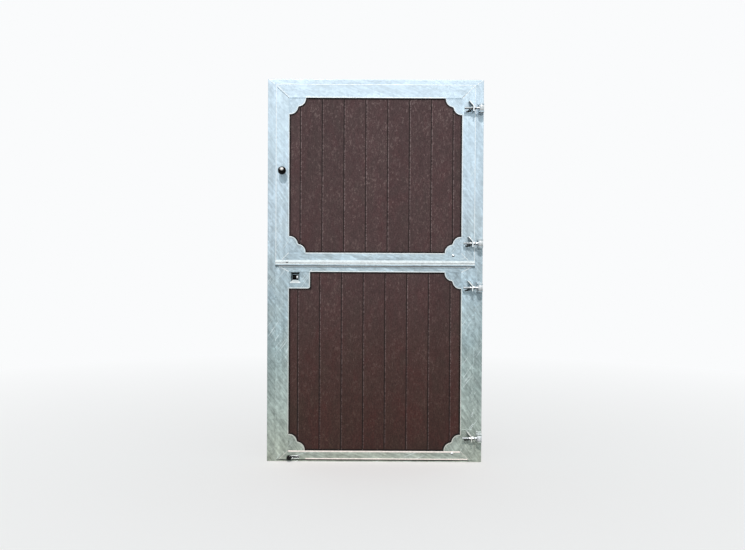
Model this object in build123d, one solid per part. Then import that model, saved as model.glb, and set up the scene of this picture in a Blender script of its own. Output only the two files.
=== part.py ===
from build123d import *
import math
import os
from types import SimpleNamespace

# A stable door: two leaves, one above the other, that swing outwards in a steel angle frame.
# Millimetres. X runs to the right as seen from outside, the outside faces -Y, Z is up.
# The origin is the middle of the sill's underside, halfway through the frame's depth.

# Outer frame: two jambs and a head of steel angle, and a flat sill
frame_width = 1340.0
frame_height = 2380.0
frame_depth = 60.0
frame_wall = 5.0
frame_bend = 4.0
jamb_face = 70.0
head_face = 52.0
sill_thickness = 6.0

# Holes for the wall dowels, in pairs through the reveal of each jamb
anchor_radius = 6.5
anchor_spacing = 600.0
anchor_lowest = 300.0
anchor_below_head = 280.0
anchor_setback = 10.0

# Leaves: a channel round the planks, with a lip in front of the frame
leaf_wall = 4.0
leaf_lip = 27.0
stile_width = 58.0
side_gap = 6.0
seat_gap = 0.5
sill_gap = 8.0
meeting_above_middle = 27.0
meeting_gap = 5.0
meeting_rail = 81.0
lower_top_rail = 33.0
lower_bottom_rail = 54.0

# Drip strip folded from sheet, along the foot of the upper leaf
strip_wall = 3.0
strip_stand = 9.0
strip_height = 35.0
strip_slope = 8.0
strip_end_gap = 1.0

# Planks, joined by tongue and groove: seven of full width between two that are cut to fit
plank_thickness = 40.0
plank_count = 9
cut_planks = 123.5
upper_first_plank = 70.0
lower_first_plank = 58.0
pocketed_planks = 2
plank_side_gap = 24.0
plank_end_gap = 6.0
plank_foot_gap = 0.3
plank_gap = 0.25
plank_arris = 2.5
joint_gap = 0.5
tongue_length = 10.0
tongue_thickness = 12.0
groove_play = 0.4

# Corner plates with two rounded lobes, tucked behind the front flange
plate_thickness = 4.0
plate_tuck = 22.0
lobe_radius = 49.0
lobe_step = 4.0
lobe_fillet = 14.0

# Hinges: a fork on the jamb, a pin, and an eye bolt in a bracket on the leaf
hinge_in = 20.0
hinge_stand = 38.0
upper_hinge_below_top = 123.0
upper_hinge_above_foot = 143.0
lower_hinge_below_top = 126.0
lower_hinge_above_foot = 144.0
pin_radius = 7.0
pin_play = 0.25
pin_head_radius = 11.0
pin_head_height = 5.0
pin_tail = 5.0
pin_chamfer = 1.4
fork_gap = 37.0
ear_thickness = 6.0
ear_radius = 17.0
fork_base = 6.0
fork_base_height = 64.0
fork_base_width = 32.0
eye_radius = 16.0
eye_play = 0.3
shank_radius = 7.0
shank_play = 0.3
shank_end_in = 76.0
shank_chamfer = 1.2
bracket_in = 20.0
bracket_wall = 6.0
bracket_drop = 22.0
bracket_bend_up = 12.5
rib_run = 26.0
rib_rise = 30.0
bracket_reach = 48.0
bracket_base_in = 9.0
bracket_base_width = 66.0
bracket_base_top = 46.0
bracket_base_bottom = 26.0
nut_width = 21.0
nut_thickness = 11.0
nut_gap = 0.2

# Button-head bolts
bolt_radius = 4.0
bolt_play = 0.15
bolt_head_radius = 9.0
bolt_head_height = 5.0
corner_bolt_in = 50.0
corner_bolt_below = 14.0
strip_bolt_in = 74.0
strip_bolt_above = 25.0

# Turn latch of the upper leaf
latch_in = 17.0
latch_above_middle = 36.0
latch_play = 0.3
spindle_radius = 6.0
knob_radius = 25.5
knob_neck_radius = 9.0
knob_neck_length = 14.0
knob_rose_radius = 15.0
knob_rose_height = 3.0
knob_bore_depth = 12.0
ball_bands = 14
tongue_bar_reach = 71.0
tongue_bar_width = 22.0
tongue_bar_wall = 6.0
rivet_radius = 10.0
rivet_height = 3.0
keeper_reach = 53.0
keeper_height = 50.0
keeper_wall = 6.0
keeper_play = 1.0

# Flush slide bolt of the lower leaf, in a plate with a square finger recess
lock_plate_width = 131.0
lock_plate_height = 104.0
lock_plate_corner = 14.0
recess_in = 39.0
recess_below = 34.0
recess_width = 60.0
recess_height = 62.0
recess_floor = 38.0
recess_depth = 16.0
recess_wall = 3.0
slot_width = 36.0
slot_height = 32.0
lug_width = 10.0
lug_height = 18.0
lug_set_back = 4.5
lug_to_slot = 1.0
lug_fillet = 2.0
lock_travel = 20.0
lock_tail = 40.0
rod_radius = 6.0
rod_play = 0.3
rod_chamfer = 1.2
rod_end_gap = 1.0
recess_to_rod = 1.0
guide_wall = 4.0
guide_rim = 4.0
lock_guide_gap = 8.0
pocket_gap = 2.0

# Foot bolt, in the lower leaf's bottom rail
foot_bolt_up = 13.0
foot_rod_depth = 20.5
foot_knob_in = 5.0
foot_knob_radius = 15.0
foot_knob_stand = 18.0
foot_neck_radius = 4.5
foot_travel = 56.0
foot_bolt_reach = 54.0
foot_rod_tail = 76.0
foot_guide_from_knob = 65.0
slot_play = 2.5
neck_play = 1.0

# Rod keepers behind the left jamb's face
rod_keeper_inset = 3.0
rod_keeper_height = 32.0
rod_keeper_depth = 34.0
rod_keeper_play = 0.6

# Levels and edges worked out from the sizes above
frame_front = -frame_depth / 2
frame_back = frame_depth / 2
frame_half = frame_width / 2
reveal_inner = frame_half - frame_wall
face_back = frame_front + frame_wall
opening_half = frame_half - jamb_face
opening_top = frame_height - head_face
body_half = opening_half - side_gap
lip_half = body_half + leaf_lip
panel_half = body_half - stile_width
leaf_front = frame_front - seat_gap - leaf_wall
flange_back = leaf_front + leaf_wall
plate_back = flange_back + plate_thickness
plank_front = plate_back + plank_gap
plank_back = plank_front + plank_thickness
channel_back = plank_back + plank_gap
body_back = channel_back + leaf_wall
plank_edge = body_half - leaf_wall - plank_side_gap
plank_pitch = (2 * panel_half - cut_planks) / (plank_count - 2)
meeting_level = frame_height / 2 + meeting_above_middle
hinge_x = frame_half - hinge_in
hinge_y = frame_front - hinge_stand
shank_end_x = lip_half - shank_end_in
bracket_x = lip_half - bracket_in
bracket_base_right = lip_half - bracket_base_in
bracket_base_left = bracket_base_right - bracket_base_width
strip_bolt_x = -lip_half + strip_bolt_in
latch_x = -body_half + latch_in
foot_knob_x = -panel_half + foot_knob_in
upper_foot = meeting_level + meeting_gap
upper_top = opening_top - side_gap
lower_foot = sill_thickness + sill_gap
latch_level = (upper_foot + upper_top) / 2 + latch_above_middle
foot_level = lower_foot + foot_bolt_up

upper = SimpleNamespace(
    name="upper",
    bottom=upper_foot,
    top=upper_top,
    flange_top=upper_top + leaf_lip,
    bottom_rail=meeting_rail,
    top_rail=stile_width,
    bottom_foot=lip_half,
    top_foot=lip_half,
    hinges=(upper_top - upper_hinge_below_top, upper_foot + upper_hinge_above_foot),
    first_joint=-panel_half + upper_first_plank,
)
lower = SimpleNamespace(
    name="lower",
    bottom=lower_foot,
    top=meeting_level,
    flange_top=meeting_level,
    bottom_rail=lower_bottom_rail,
    top_rail=lower_top_rail,
    bottom_foot=panel_half + lower_bottom_rail,
    top_foot=panel_half + lower_top_rail,
    hinges=(meeting_level - lower_hinge_below_top, lower_foot + lower_hinge_above_foot),
    first_joint=-panel_half + lower_first_plank,
)


def block(x0, x1, y0, y1, z0, z1):
    """A box between two values on each axis."""
    middle = Pos((x0 + x1) / 2, (y0 + y1) / 2, (z0 + z1) / 2)
    return middle * Box(x1 - x0, y1 - y0, z1 - z0)


def plate_xz(points, front, back):
    """A flat plate whose outline is given in X and Z, from front to back along Y."""
    outline = make_face(Polyline([(x, front, z) for x, z in points], close=True))
    return extrude(outline, back - front, dir=(0, 1, 0))


def bar_xy(points, bottom, top):
    """A bar whose section is given in X and Y, from bottom to top along Z."""
    section = make_face(Polyline([(x, y, bottom) for x, y in points], close=True))
    return extrude(section, top - bottom, dir=(0, 0, 1))


def rod(start, end, radius):
    """A round bar from one point to another."""
    run = Vector(*end) - Vector(*start)
    bar = Cylinder(radius, run.length, align=(Align.CENTER, Align.CENTER, Align.MIN))
    return Plane(origin=start, z_dir=run) * bar


def mirrored(shape):
    """The same piece on the other side of the door."""
    return mirror(shape, Plane.YZ)


def distinct(points):
    """The outline's points with each repeated one left out."""
    kept = [points[0]]
    for point in points[1:]:
        if point != kept[-1]:
            kept.append(point)
    return kept


def angle_section(leg_x, face_x):
    """Steel angle in X and Y: the reveal at leg_x and the face as far as face_x, bend rounded."""
    inward = 1 if face_x > leg_x else -1
    leg_inner = leg_x + inward * frame_wall
    points = [
        (leg_x, frame_front),
        (face_x, frame_front),
        (face_x, face_back),
        (leg_inner, face_back),
        (leg_inner, frame_back),
        (leg_x, frame_back),
    ]
    section = make_face(Polyline(points, close=True))
    bend = section.vertices().sort_by_distance((leg_x, frame_front, 0))[0]
    return fillet(bend, frame_bend)


def make_jamb():
    """Left jamb, mitred to the head, with its dowel holes."""
    section = angle_section(-frame_half, -opening_half)
    bar = extrude(section, frame_height, dir=(0, 0, 1))
    mitred = plate_xz(
        [
            (-frame_half, 0),
            (-opening_half, 0),
            (-opening_half, opening_top),
            (-frame_half, frame_height),
        ],
        frame_front,
        frame_back,
    )
    jamb = bar & mitred
    top_pair = frame_height - anchor_below_head
    levels = (anchor_lowest, anchor_lowest + anchor_spacing, top_pair - anchor_spacing, top_pair)
    for level in levels:
        outside = (-frame_half - frame_wall, anchor_setback, level)
        inside = (-reveal_inner + frame_wall, anchor_setback, level)
        jamb -= rod(outside, inside, anchor_radius)
    return jamb


def make_head():
    """Head of the frame: the same angle laid across the top, mitred at both ends."""
    section = Plane.YZ * make_face(
        Polyline(
            [
                (frame_front, opening_top),
                (face_back, opening_top),
                (face_back, frame_height - frame_wall),
                (frame_back, frame_height - frame_wall),
                (frame_back, frame_height),
                (frame_front, frame_height),
            ],
            close=True,
        )
    )
    bend = section.vertices().sort_by_distance((0, frame_front, frame_height))[0]
    bar = extrude(fillet(bend, frame_bend), frame_half, both=True)
    mitred = plate_xz(
        [
            (-frame_half, frame_height),
            (-opening_half, opening_top),
            (opening_half, opening_top),
            (frame_half, frame_height),
        ],
        frame_front,
        frame_back,
    )
    return bar & mitred


def make_sill():
    """Flat sill between the jambs, notched round their faces."""
    behind_faces = block(-reveal_inner, reveal_inner, face_back, frame_back, 0, sill_thickness)
    between_faces = block(-opening_half, opening_half, frame_front, face_back, 0, sill_thickness)
    return behind_faces + between_faces


def make_stile(leaf):
    """Left stile: front flange with its lip, web at the leaf's edge and back flange."""
    panel_bottom = leaf.bottom + leaf.bottom_rail
    panel_top = leaf.top - leaf.top_rail
    flange = plate_xz(
        distinct(
            [
                (-lip_half, leaf.bottom),
                (-leaf.bottom_foot, leaf.bottom),
                (-panel_half, panel_bottom),
                (-panel_half, panel_top),
                (-leaf.top_foot, leaf.flange_top),
                (-lip_half, leaf.flange_top),
            ]
        ),
        leaf_front,
        flange_back,
    )
    web_inner = -body_half + leaf_wall
    web = block(-body_half, web_inner, flange_back, body_back, leaf.bottom, leaf.top)
    back = block(-body_half, -panel_half, channel_back, body_back, leaf.bottom, leaf.top)
    mitred = plate_xz(
        [
            (-body_half, leaf.bottom),
            (-panel_half, panel_bottom),
            (-panel_half, panel_top),
            (-body_half, leaf.top),
        ],
        flange_back,
        body_back,
    )
    return flange + ((web + back) & mitred)


def make_rail(leaf, at_top):
    """Top or bottom rail: front flange, web at the leaf's edge and back flange."""
    edge = leaf.top if at_top else leaf.bottom
    inward = -1 if at_top else 1
    height = leaf.top_rail if at_top else leaf.bottom_rail
    flange_edge = leaf.flange_top if at_top else leaf.bottom
    foot = leaf.top_foot if at_top else leaf.bottom_foot
    inner = edge + inward * height
    flange = plate_xz(
        [(-foot, flange_edge), (-panel_half, inner), (panel_half, inner), (foot, flange_edge)],
        leaf_front,
        flange_back,
    )
    web_inner = edge + inward * leaf_wall
    low, high = min(edge, inner), max(edge, inner)
    web_low, web_high = min(edge, web_inner), max(edge, web_inner)
    web = block(-body_half, body_half, flange_back, body_back, web_low, web_high)
    back = block(-body_half, body_half, channel_back, body_back, low, high)
    mitred = plate_xz(
        [(-body_half, edge), (-panel_half, inner), (panel_half, inner), (body_half, edge)],
        flange_back,
        body_back,
    )
    return flange + ((web + back) & mitred)


def make_plank(leaf, index):
    """One plank: arrised on all four edges, tongue on its right side, groove on its left."""
    first = index == 0
    last = index == plank_count - 1
    left_joint = leaf.first_joint + (index - 1) * plank_pitch
    left = -plank_edge if first else left_joint + joint_gap / 2
    right = plank_edge if last else left_joint + plank_pitch - joint_gap / 2
    bottom = leaf.bottom + leaf_wall + plank_foot_gap
    top = leaf.top - leaf_wall - plank_end_gap
    middle = (plank_front + plank_back) / 2
    plank = bar_xy(
        [
            (left + plank_arris, plank_front),
            (right - plank_arris, plank_front),
            (right, plank_front + plank_arris),
            (right, plank_back - plank_arris),
            (right - plank_arris, plank_back),
            (left + plank_arris, plank_back),
            (left, plank_back - plank_arris),
            (left, plank_front + plank_arris),
        ],
        bottom,
        top,
    )
    half = tongue_thickness / 2
    if not last:
        tongue_end = right + joint_gap + tongue_length
        plank += block(right, tongue_end, middle - half, middle + half, bottom, top)
    if not first:
        groove_end = left + tongue_length + groove_play
        wide = half + groove_play
        plank -= block(left, groove_end, middle - wide, middle + wide, bottom, top)
    return plank


def corner_outline():
    """Corner plate seen from outside, its inner corner at the origin, growing to +X and +Z."""
    far = lobe_step + 2 * lobe_radius
    waist = lobe_step + lobe_radius
    edges = [
        Line((-plate_tuck, -plate_tuck), (far, -plate_tuck)),
        Line((far, -plate_tuck), (far, lobe_step)),
        CenterArc((waist, lobe_step), lobe_radius, 0, 90),
        CenterArc((lobe_step, waist), lobe_radius, 0, 90),
        Line((lobe_step, far), (-plate_tuck, far)),
        Line((-plate_tuck, far), (-plate_tuck, -plate_tuck)),
    ]
    face = make_face(Curve() + edges)
    hollow = face.vertices().sort_by_distance((waist, waist, 0))[0]
    return fillet(hollow, lobe_fillet)


def make_corner_plate(leaf, on_right, at_top):
    """One corner plate behind the front flange of a leaf's corner."""
    plate = extrude(Plane.XZ * corner_outline(), -plate_thickness)
    if on_right:
        plate = mirror(plate, Plane.YZ)
    if at_top:
        plate = mirror(plate, Plane.XY)
    x = panel_half if on_right else -panel_half
    z = leaf.top - leaf.top_rail if at_top else leaf.bottom + leaf.bottom_rail
    return Pos(x, flange_back, z) * plate


def corner_bolt_place(leaf):
    """Middle of the bolt that holds the lower right corner plate of a leaf."""
    return panel_half - corner_bolt_in, leaf.bottom + leaf.bottom_rail - corner_bolt_below


def bolt_hole(x, z, front, back):
    """The hole of a button-head bolt through everything from front to back."""
    return rod((x, front, z), (x, back, z), bolt_radius + bolt_play)


def make_button_bolt(x, seat, z, grip):
    """A bolt with a low domed head on a surface that faces outwards."""
    dome_radius = (bolt_head_radius**2 + bolt_head_height**2) / (2 * bolt_head_height)
    dome = Pos(x, seat - bolt_head_height + dome_radius, z) * Sphere(dome_radius)
    head = dome & rod((x, seat - 2 * bolt_head_height, z), (x, seat, z), 2 * bolt_head_radius)
    return head + rod((x, seat, z), (x, seat + grip, z), bolt_radius)


def make_drip_strip():
    """Folded strip: it leaves the rail with a slope and drops down in front of it."""
    front = leaf_front - strip_stand
    foot = upper.bottom
    top = foot + strip_height
    shoulder = top - strip_slope
    half = lip_half - strip_end_gap
    slope_drop = strip_wall * (strip_slope**2 + strip_stand**2) ** 0.5 / strip_stand
    shoulder_drop = slope_drop - strip_wall * strip_slope / strip_stand
    section = make_face(
        Polyline(
            [
                (-half, leaf_front, top),
                (-half, front, shoulder),
                (-half, front, foot),
                (-half, front + strip_wall, foot),
                (-half, front + strip_wall, shoulder - shoulder_drop),
                (-half, leaf_front, top - slope_drop),
            ],
            close=True,
        )
    )
    strip = extrude(section, 2 * half, dir=(1, 0, 0))
    return strip - bolt_hole(strip_bolt_x, foot + strip_bolt_above, front - strip_wall, leaf_front)


def make_fork(level):
    """Hinge fork on the right jamb: base plate and two round-ended ears."""
    base_half = fork_base_width / 2
    base = block(
        hinge_x - base_half,
        hinge_x + base_half,
        frame_front - fork_base,
        frame_front,
        level - fork_base_height / 2,
        level + fork_base_height / 2,
    )
    fork = base
    for ear_bottom in (level - fork_gap / 2 - ear_thickness, level + fork_gap / 2):
        at_pin = Pos(hinge_x, hinge_y, ear_bottom)
        upright = (Align.CENTER, Align.CENTER, Align.MIN)
        round_end = at_pin * Cylinder(ear_radius, ear_thickness, align=upright)
        arm = block(
            hinge_x - base_half,
            hinge_x + base_half,
            hinge_y,
            frame_front - fork_base,
            ear_bottom,
            ear_bottom + ear_thickness,
        )
        hole = at_pin * Cylinder(pin_radius + pin_play, ear_thickness, align=upright)
        fork += round_end + arm
        fork -= hole
    return fork


def make_pin(level):
    """Hinge pin with a flat head on the upper ear."""
    head_bottom = level + fork_gap / 2 + ear_thickness
    tail = level - fork_gap / 2 - ear_thickness - pin_tail
    shaft = rod((hinge_x, hinge_y, tail), (hinge_x, hinge_y, head_bottom), pin_radius)
    tail_edge = shaft.edges().filter_by(GeomType.CIRCLE).sort_by(Axis.Z)[0]
    shaft = chamfer(tail_edge, pin_chamfer)
    head_top = head_bottom + pin_head_height
    return shaft + rod(
        (hinge_x, hinge_y, head_bottom), (hinge_x, hinge_y, head_top), pin_head_radius
    )


def make_eye_bolt(level):
    """Eye bolt: a barrel round the pin and a shank through the bracket."""
    half = fork_gap / 2 - eye_play
    low = (hinge_x, hinge_y, level - half)
    high = (hinge_x, hinge_y, level + half)
    shank = rod((hinge_x, hinge_y, level), (shank_end_x, hinge_y, level), shank_radius)
    end_edge = shank.edges().filter_by(GeomType.CIRCLE).sort_by(Axis.X)[0]
    shank = chamfer(end_edge, shank_chamfer)
    return rod(low, high, eye_radius) + shank - rod(low, high, pin_radius + pin_play)


def make_bracket(level):
    """Bracket on the leaf: base plate and an upright folded over into a slanting rib."""
    front = leaf_front - bracket_wall
    base = block(
        bracket_base_left,
        bracket_base_right,
        front,
        leaf_front,
        level - bracket_base_bottom,
        level + bracket_base_top,
    )
    middle_line = Polyline(
        (bracket_x, level - bracket_drop),
        (bracket_x, level + bracket_bend_up),
        (bracket_x - rib_run, level + bracket_bend_up + rib_rise),
    )
    folded = trace(middle_line, bracket_wall)
    upright = extrude(Plane.XZ.offset(-front) * folded, bracket_reach)
    bracket = base + upright
    return bracket - rod(
        (bracket_x - bracket_wall, hinge_y, level),
        (bracket_x + bracket_wall, hinge_y, level),
        shank_radius + shank_play,
    )


def make_hinge_nuts(level):
    """Two hexagon nuts on the eye bolt, one on each side of the bracket."""
    gap = bracket_wall / 2 + nut_gap
    nuts = Part()
    for start in (bracket_x + gap, bracket_x - gap - nut_thickness):
        hexagon = RegularPolygon(nut_width / 2, 6, major_radius=False)
        profile = hexagon - Circle(shank_radius + shank_play)
        nuts += extrude(Plane.YZ.offset(start) * Pos(hinge_y, level) * profile, nut_thickness)
    return nuts


def make_ball(x, y, z, radius):
    """A ball about a point, turned in conical bands about the Y axis."""
    angles = [math.pi * band / ball_bands for band in range(ball_bands + 1)]
    arc = [(radius * math.sin(angle), radius * math.cos(angle)) for angle in angles]
    return Pos(x, y, z) * revolve(make_face(Polyline(arc, close=True)), Axis.Y)


def make_latch_knob():
    """Ball knob on a short neck with a rose, bored for the spindle."""
    seat = leaf_front - latch_play
    ball_front = seat - knob_neck_length - knob_radius
    ball = make_ball(latch_x, ball_front, latch_level, knob_radius)
    neck = rod((latch_x, seat, latch_level), (latch_x, ball_front, latch_level), knob_neck_radius)
    rose_front = seat - knob_rose_height
    rose = rod((latch_x, seat, latch_level), (latch_x, rose_front, latch_level), knob_rose_radius)
    bore_end = (latch_x, seat - knob_bore_depth, latch_level)
    bore = rod((latch_x, seat, latch_level), bore_end, spindle_radius + bolt_play)
    return ball + neck + rose - bore


def make_latch_spindle():
    """Spindle from the knob through the stile, riveted over behind the tongue."""
    tongue_back = body_back + latch_play + tongue_bar_wall
    start = (latch_x, leaf_front - latch_play - knob_bore_depth, latch_level)
    rivet_seat = (latch_x, tongue_back + bolt_play, latch_level)
    rivet_end = (latch_x, tongue_back + bolt_play + rivet_height, latch_level)
    return rod(start, rivet_seat, spindle_radius) + rod(rivet_seat, rivet_end, rivet_radius)


def make_latch_tongue():
    """Flat tongue on the spindle, reaching behind the jamb's keeper."""
    front = body_back + latch_play
    back = front + tongue_bar_wall
    half = tongue_bar_width / 2
    tip_x = latch_x - tongue_bar_reach + half
    tongue = block(tip_x, latch_x, front, back, latch_level - half, latch_level + half)
    for x in (latch_x, tip_x):
        tongue += rod((x, front, latch_level), (x, back, latch_level), half)
    hole = rod(
        (latch_x, front, latch_level), (latch_x, back, latch_level), spindle_radius + bolt_play
    )
    return tongue - hole


def make_latch_keeper():
    """Flat keeper welded to the left reveal, in front of the latch tongue."""
    back = body_back + latch_play - keeper_play
    half = keeper_height / 2
    inner = -reveal_inner + keeper_reach
    return block(
        -reveal_inner, inner, back - keeper_wall, back, latch_level - half, latch_level + half
    )


# The flush bolt's rod lies behind the recess, level with the middle of it
recess_x = -panel_half + recess_in
recess_z = lower.top - lower.top_rail - recess_below
recess_back = flange_back + recess_depth + recess_wall
lock_rod_y = recess_back + recess_to_rod + rod_radius
slot_right = recess_x + slot_width / 2
lug_right = slot_right - lug_to_slot
lock_rod_left = -body_half + rod_end_gap
lock_rod_right = recess_x + recess_floor / 2 + lock_travel + lock_tail
lock_guide_x = recess_x + recess_floor / 2 + lock_guide_gap

# The foot bolt's rod lies in the bottom rail, behind the slot of its knob
foot_rod_y = flange_back + foot_rod_depth
foot_rod_left = -body_half - foot_bolt_reach
foot_rod_right = foot_knob_x + foot_rod_tail
foot_guide_x = foot_knob_x + foot_guide_from_knob


def square_on_xz(x, y, z, width, height):
    """A rectangle that faces along Y, about a point."""
    return Plane(origin=(x, y, z), x_dir=(1, 0, 0), z_dir=(0, 1, 0)) * Rectangle(width, height)


def make_lock_plate():
    """Lock plate: a tucked plate with a funnel-shaped finger recess and the rod's guide."""
    left = -panel_half - plate_tuck
    right = -panel_half + lock_plate_width
    top = lower.top - lower.top_rail + plate_tuck
    bottom = lower.top - lower.top_rail - lock_plate_height
    plate = block(left, right, flange_back, plate_back, bottom, top)
    corner = plate.edges().filter_by(Axis.Y).sort_by_distance((right, plate_back, bottom))[0]
    plate = fillet(corner, lock_plate_corner)
    wide = 2 * recess_wall
    floor_front = flange_back + recess_depth
    funnel = loft(
        [
            square_on_xz(recess_x, flange_back, recess_z, recess_width + wide, recess_height + wide),
            square_on_xz(recess_x, recess_back, recess_z, recess_floor + wide, recess_floor + wide),
        ]
    )
    hollow = loft(
        [
            square_on_xz(recess_x, flange_back, recess_z, recess_width, recess_height),
            square_on_xz(recess_x, floor_front, recess_z, recess_floor, recess_floor),
        ]
    )
    slot = block(
        slot_right - slot_width,
        slot_right,
        floor_front,
        recess_back,
        recess_z - slot_height / 2,
        recess_z + slot_height / 2,
    )
    reach = rod_radius + rod_play + guide_rim
    guide = block(
        lock_guide_x,
        lock_guide_x + guide_wall,
        plate_back,
        lock_rod_y + reach,
        recess_z - reach,
        recess_z + reach,
    )
    guide_hole = rod(
        (lock_guide_x, lock_rod_y, recess_z),
        (lock_guide_x + guide_wall, lock_rod_y, recess_z),
        rod_radius + rod_play,
    )
    return plate + funnel + guide - hollow - slot - guide_hole


def make_lock_bolt():
    """Flush bolt: a round rod with a lug that a finger slides in the recess."""
    bolt = rod(
        (lock_rod_left, lock_rod_y, recess_z), (lock_rod_right, lock_rod_y, recess_z), rod_radius
    )
    ends = bolt.edges().filter_by(GeomType.CIRCLE)
    bolt = chamfer(ends, rod_chamfer)
    lug = block(
        lug_right - lug_width,
        lug_right,
        flange_back + lug_set_back,
        lock_rod_y,
        recess_z - lug_height / 2,
        recess_z + lug_height / 2,
    )
    front_edges = lug.faces().sort_by(Axis.Y)[0].edges()
    return bolt + fillet(front_edges, lug_fillet)


def make_foot_guide():
    """Guide plate of the foot bolt, welded into the bottom rail."""
    reach = rod_radius + rod_play + guide_rim
    guide = block(
        foot_guide_x,
        foot_guide_x + guide_wall,
        flange_back,
        foot_rod_y + reach,
        lower.bottom + leaf_wall,
        foot_level + reach,
    )
    return guide - rod(
        (foot_guide_x, foot_rod_y, foot_level),
        (foot_guide_x + guide_wall, foot_rod_y, foot_level),
        rod_radius + rod_play,
    )


def make_foot_rod():
    """Rod of the foot bolt, cross-drilled for the knob's neck."""
    bar = rod(
        (foot_rod_left, foot_rod_y, foot_level), (foot_rod_right, foot_rod_y, foot_level), rod_radius
    )
    bar = chamfer(bar.edges().filter_by(GeomType.CIRCLE), rod_chamfer)
    front = (foot_knob_x, foot_rod_y - rod_radius, foot_level)
    return bar - rod(front, (foot_knob_x, foot_rod_y, foot_level), foot_neck_radius + bolt_play)


def make_foot_knob():
    """Round knob of the foot bolt, on a neck that ends in the rod."""
    centre = (foot_knob_x, leaf_front - foot_knob_stand, foot_level)
    ball = make_ball(*centre, foot_knob_radius)
    return ball + rod(centre, (foot_knob_x, foot_rod_y, foot_level), foot_neck_radius)


def make_rod_keeper(rod_y, level):
    """Keeper plate behind the left jamb's face, with a hole for a bolt's rod."""
    right = -opening_half - rod_keeper_inset
    left = right - guide_wall
    half = rod_keeper_height / 2
    plate = block(left, right, face_back, face_back + rod_keeper_depth, level - half, level + half)
    return plate - rod((left, rod_y, level), (right, rod_y, level), rod_radius + rod_keeper_play)


def drill_lower_stile(stile):
    """Cuts the holes of the two slide bolts through the left stile's web."""
    web_inner = -body_half + leaf_wall
    for y, z in ((lock_rod_y, recess_z), (foot_rod_y, foot_level)):
        stile -= rod((-body_half, y, z), (web_inner, y, z), rod_radius + rod_play)
    return stile


def slot_bottom_rail(rail):
    """Cuts the knob's slot through the bottom rail's front flange."""
    half = foot_neck_radius + neck_play
    left = foot_knob_x - foot_neck_radius - slot_play
    right = foot_knob_x + foot_travel + foot_neck_radius + slot_play
    slot = SlotOverall(right - left, 2 * half)
    middle = Plane.XZ.offset(-flange_back) * Pos((left + right) / 2, foot_level)
    return rail - extrude(middle * slot, leaf_wall)


def pocket_planks(plank):
    """Cuts the two bolts' pockets out of the front of a lower plank."""
    left = -plank_edge
    lock_half = (recess_height + 2 * recess_wall) / 2 + pocket_gap
    lock_back = lock_rod_y + rod_radius + guide_rim + pocket_gap
    lock_pocket = block(
        left,
        lock_rod_right + pocket_gap,
        plank_front,
        lock_back,
        recess_z - lock_half,
        recess_z + lock_half,
    )
    foot_back = foot_rod_y + rod_radius + guide_rim + pocket_gap
    foot_pocket = block(
        left,
        foot_rod_right + foot_travel + pocket_gap,
        plank_front,
        foot_back,
        lower.bottom,
        foot_level + rod_radius + guide_rim + pocket_gap,
    )
    return plank - lock_pocket - foot_pocket


def make_leaf_frame(leaf):
    """The four steel pieces of a leaf, drilled for what goes through them."""
    left = make_stile(leaf)
    right = mirrored(make_stile(leaf))
    bottom = make_rail(leaf, at_top=False)
    top = make_rail(leaf, at_top=True)
    x, z = corner_bolt_place(leaf)
    bottom -= bolt_hole(x, z, leaf_front, flange_back)
    if leaf is upper:
        spindle_hole = rod(
            (latch_x, leaf_front, latch_level),
            (latch_x, body_back, latch_level),
            spindle_radius + rod_play,
        )
        left -= spindle_hole
        bottom -= bolt_hole(strip_bolt_x, leaf.bottom + strip_bolt_above, leaf_front, flange_back)
    else:
        left = drill_lower_stile(left)
        bottom = slot_bottom_rail(bottom)
    return {
        f"{leaf.name}_left_stile": left,
        f"{leaf.name}_right_stile": right,
        f"{leaf.name}_bottom_rail": bottom,
        f"{leaf.name}_top_rail": top,
    }


def make_corner_plates(leaf):
    """A leaf's corner plates as one group: the lower leaf has its lock plate at the upper left."""
    corners = [(False, False), (True, False), (True, True)]
    if leaf is upper:
        corners.append((False, True))
    plates = Part()
    for on_right, at_top in corners:
        plates += make_corner_plate(leaf, on_right, at_top)
    x, z = corner_bolt_place(leaf)
    return plates - bolt_hole(x, z, flange_back, plate_back)


def make_button_bolts(leaf):
    """A leaf's button-head bolts as one group."""
    x, z = corner_bolt_place(leaf)
    bolt = make_button_bolt(x, leaf_front, z, leaf_wall + plate_thickness)
    if leaf is lower:
        return bolt
    seat = leaf_front - strip_stand
    grip = strip_stand + leaf_wall
    return bolt + make_button_bolt(strip_bolt_x, seat, leaf.bottom + strip_bolt_above, grip)


def make_leaf(leaf):
    """Every piece that a leaf carries on its own body, by name."""
    pieces = make_leaf_frame(leaf)
    for index in range(plank_count):
        plank = make_plank(leaf, index)
        if leaf is lower and index < pocketed_planks:
            plank = pocket_planks(plank)
        pieces[f"{leaf.name}_plank_{index + 1}"] = plank
    pieces[f"{leaf.name}_corner_plates"] = make_corner_plates(leaf)
    pieces[f"{leaf.name}_button_bolts"] = make_button_bolts(leaf)
    eyes = Part()
    nuts = Part()
    for number, level in enumerate(leaf.hinges, start=1):
        pieces[f"{leaf.name}_hinge_bracket_{number}"] = make_bracket(level)
        eyes += make_eye_bolt(level)
        nuts += make_hinge_nuts(level)
    pieces[f"{leaf.name}_hinge_eye_bolts"] = eyes
    pieces[f"{leaf.name}_hinge_nuts"] = nuts
    return pieces


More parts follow.
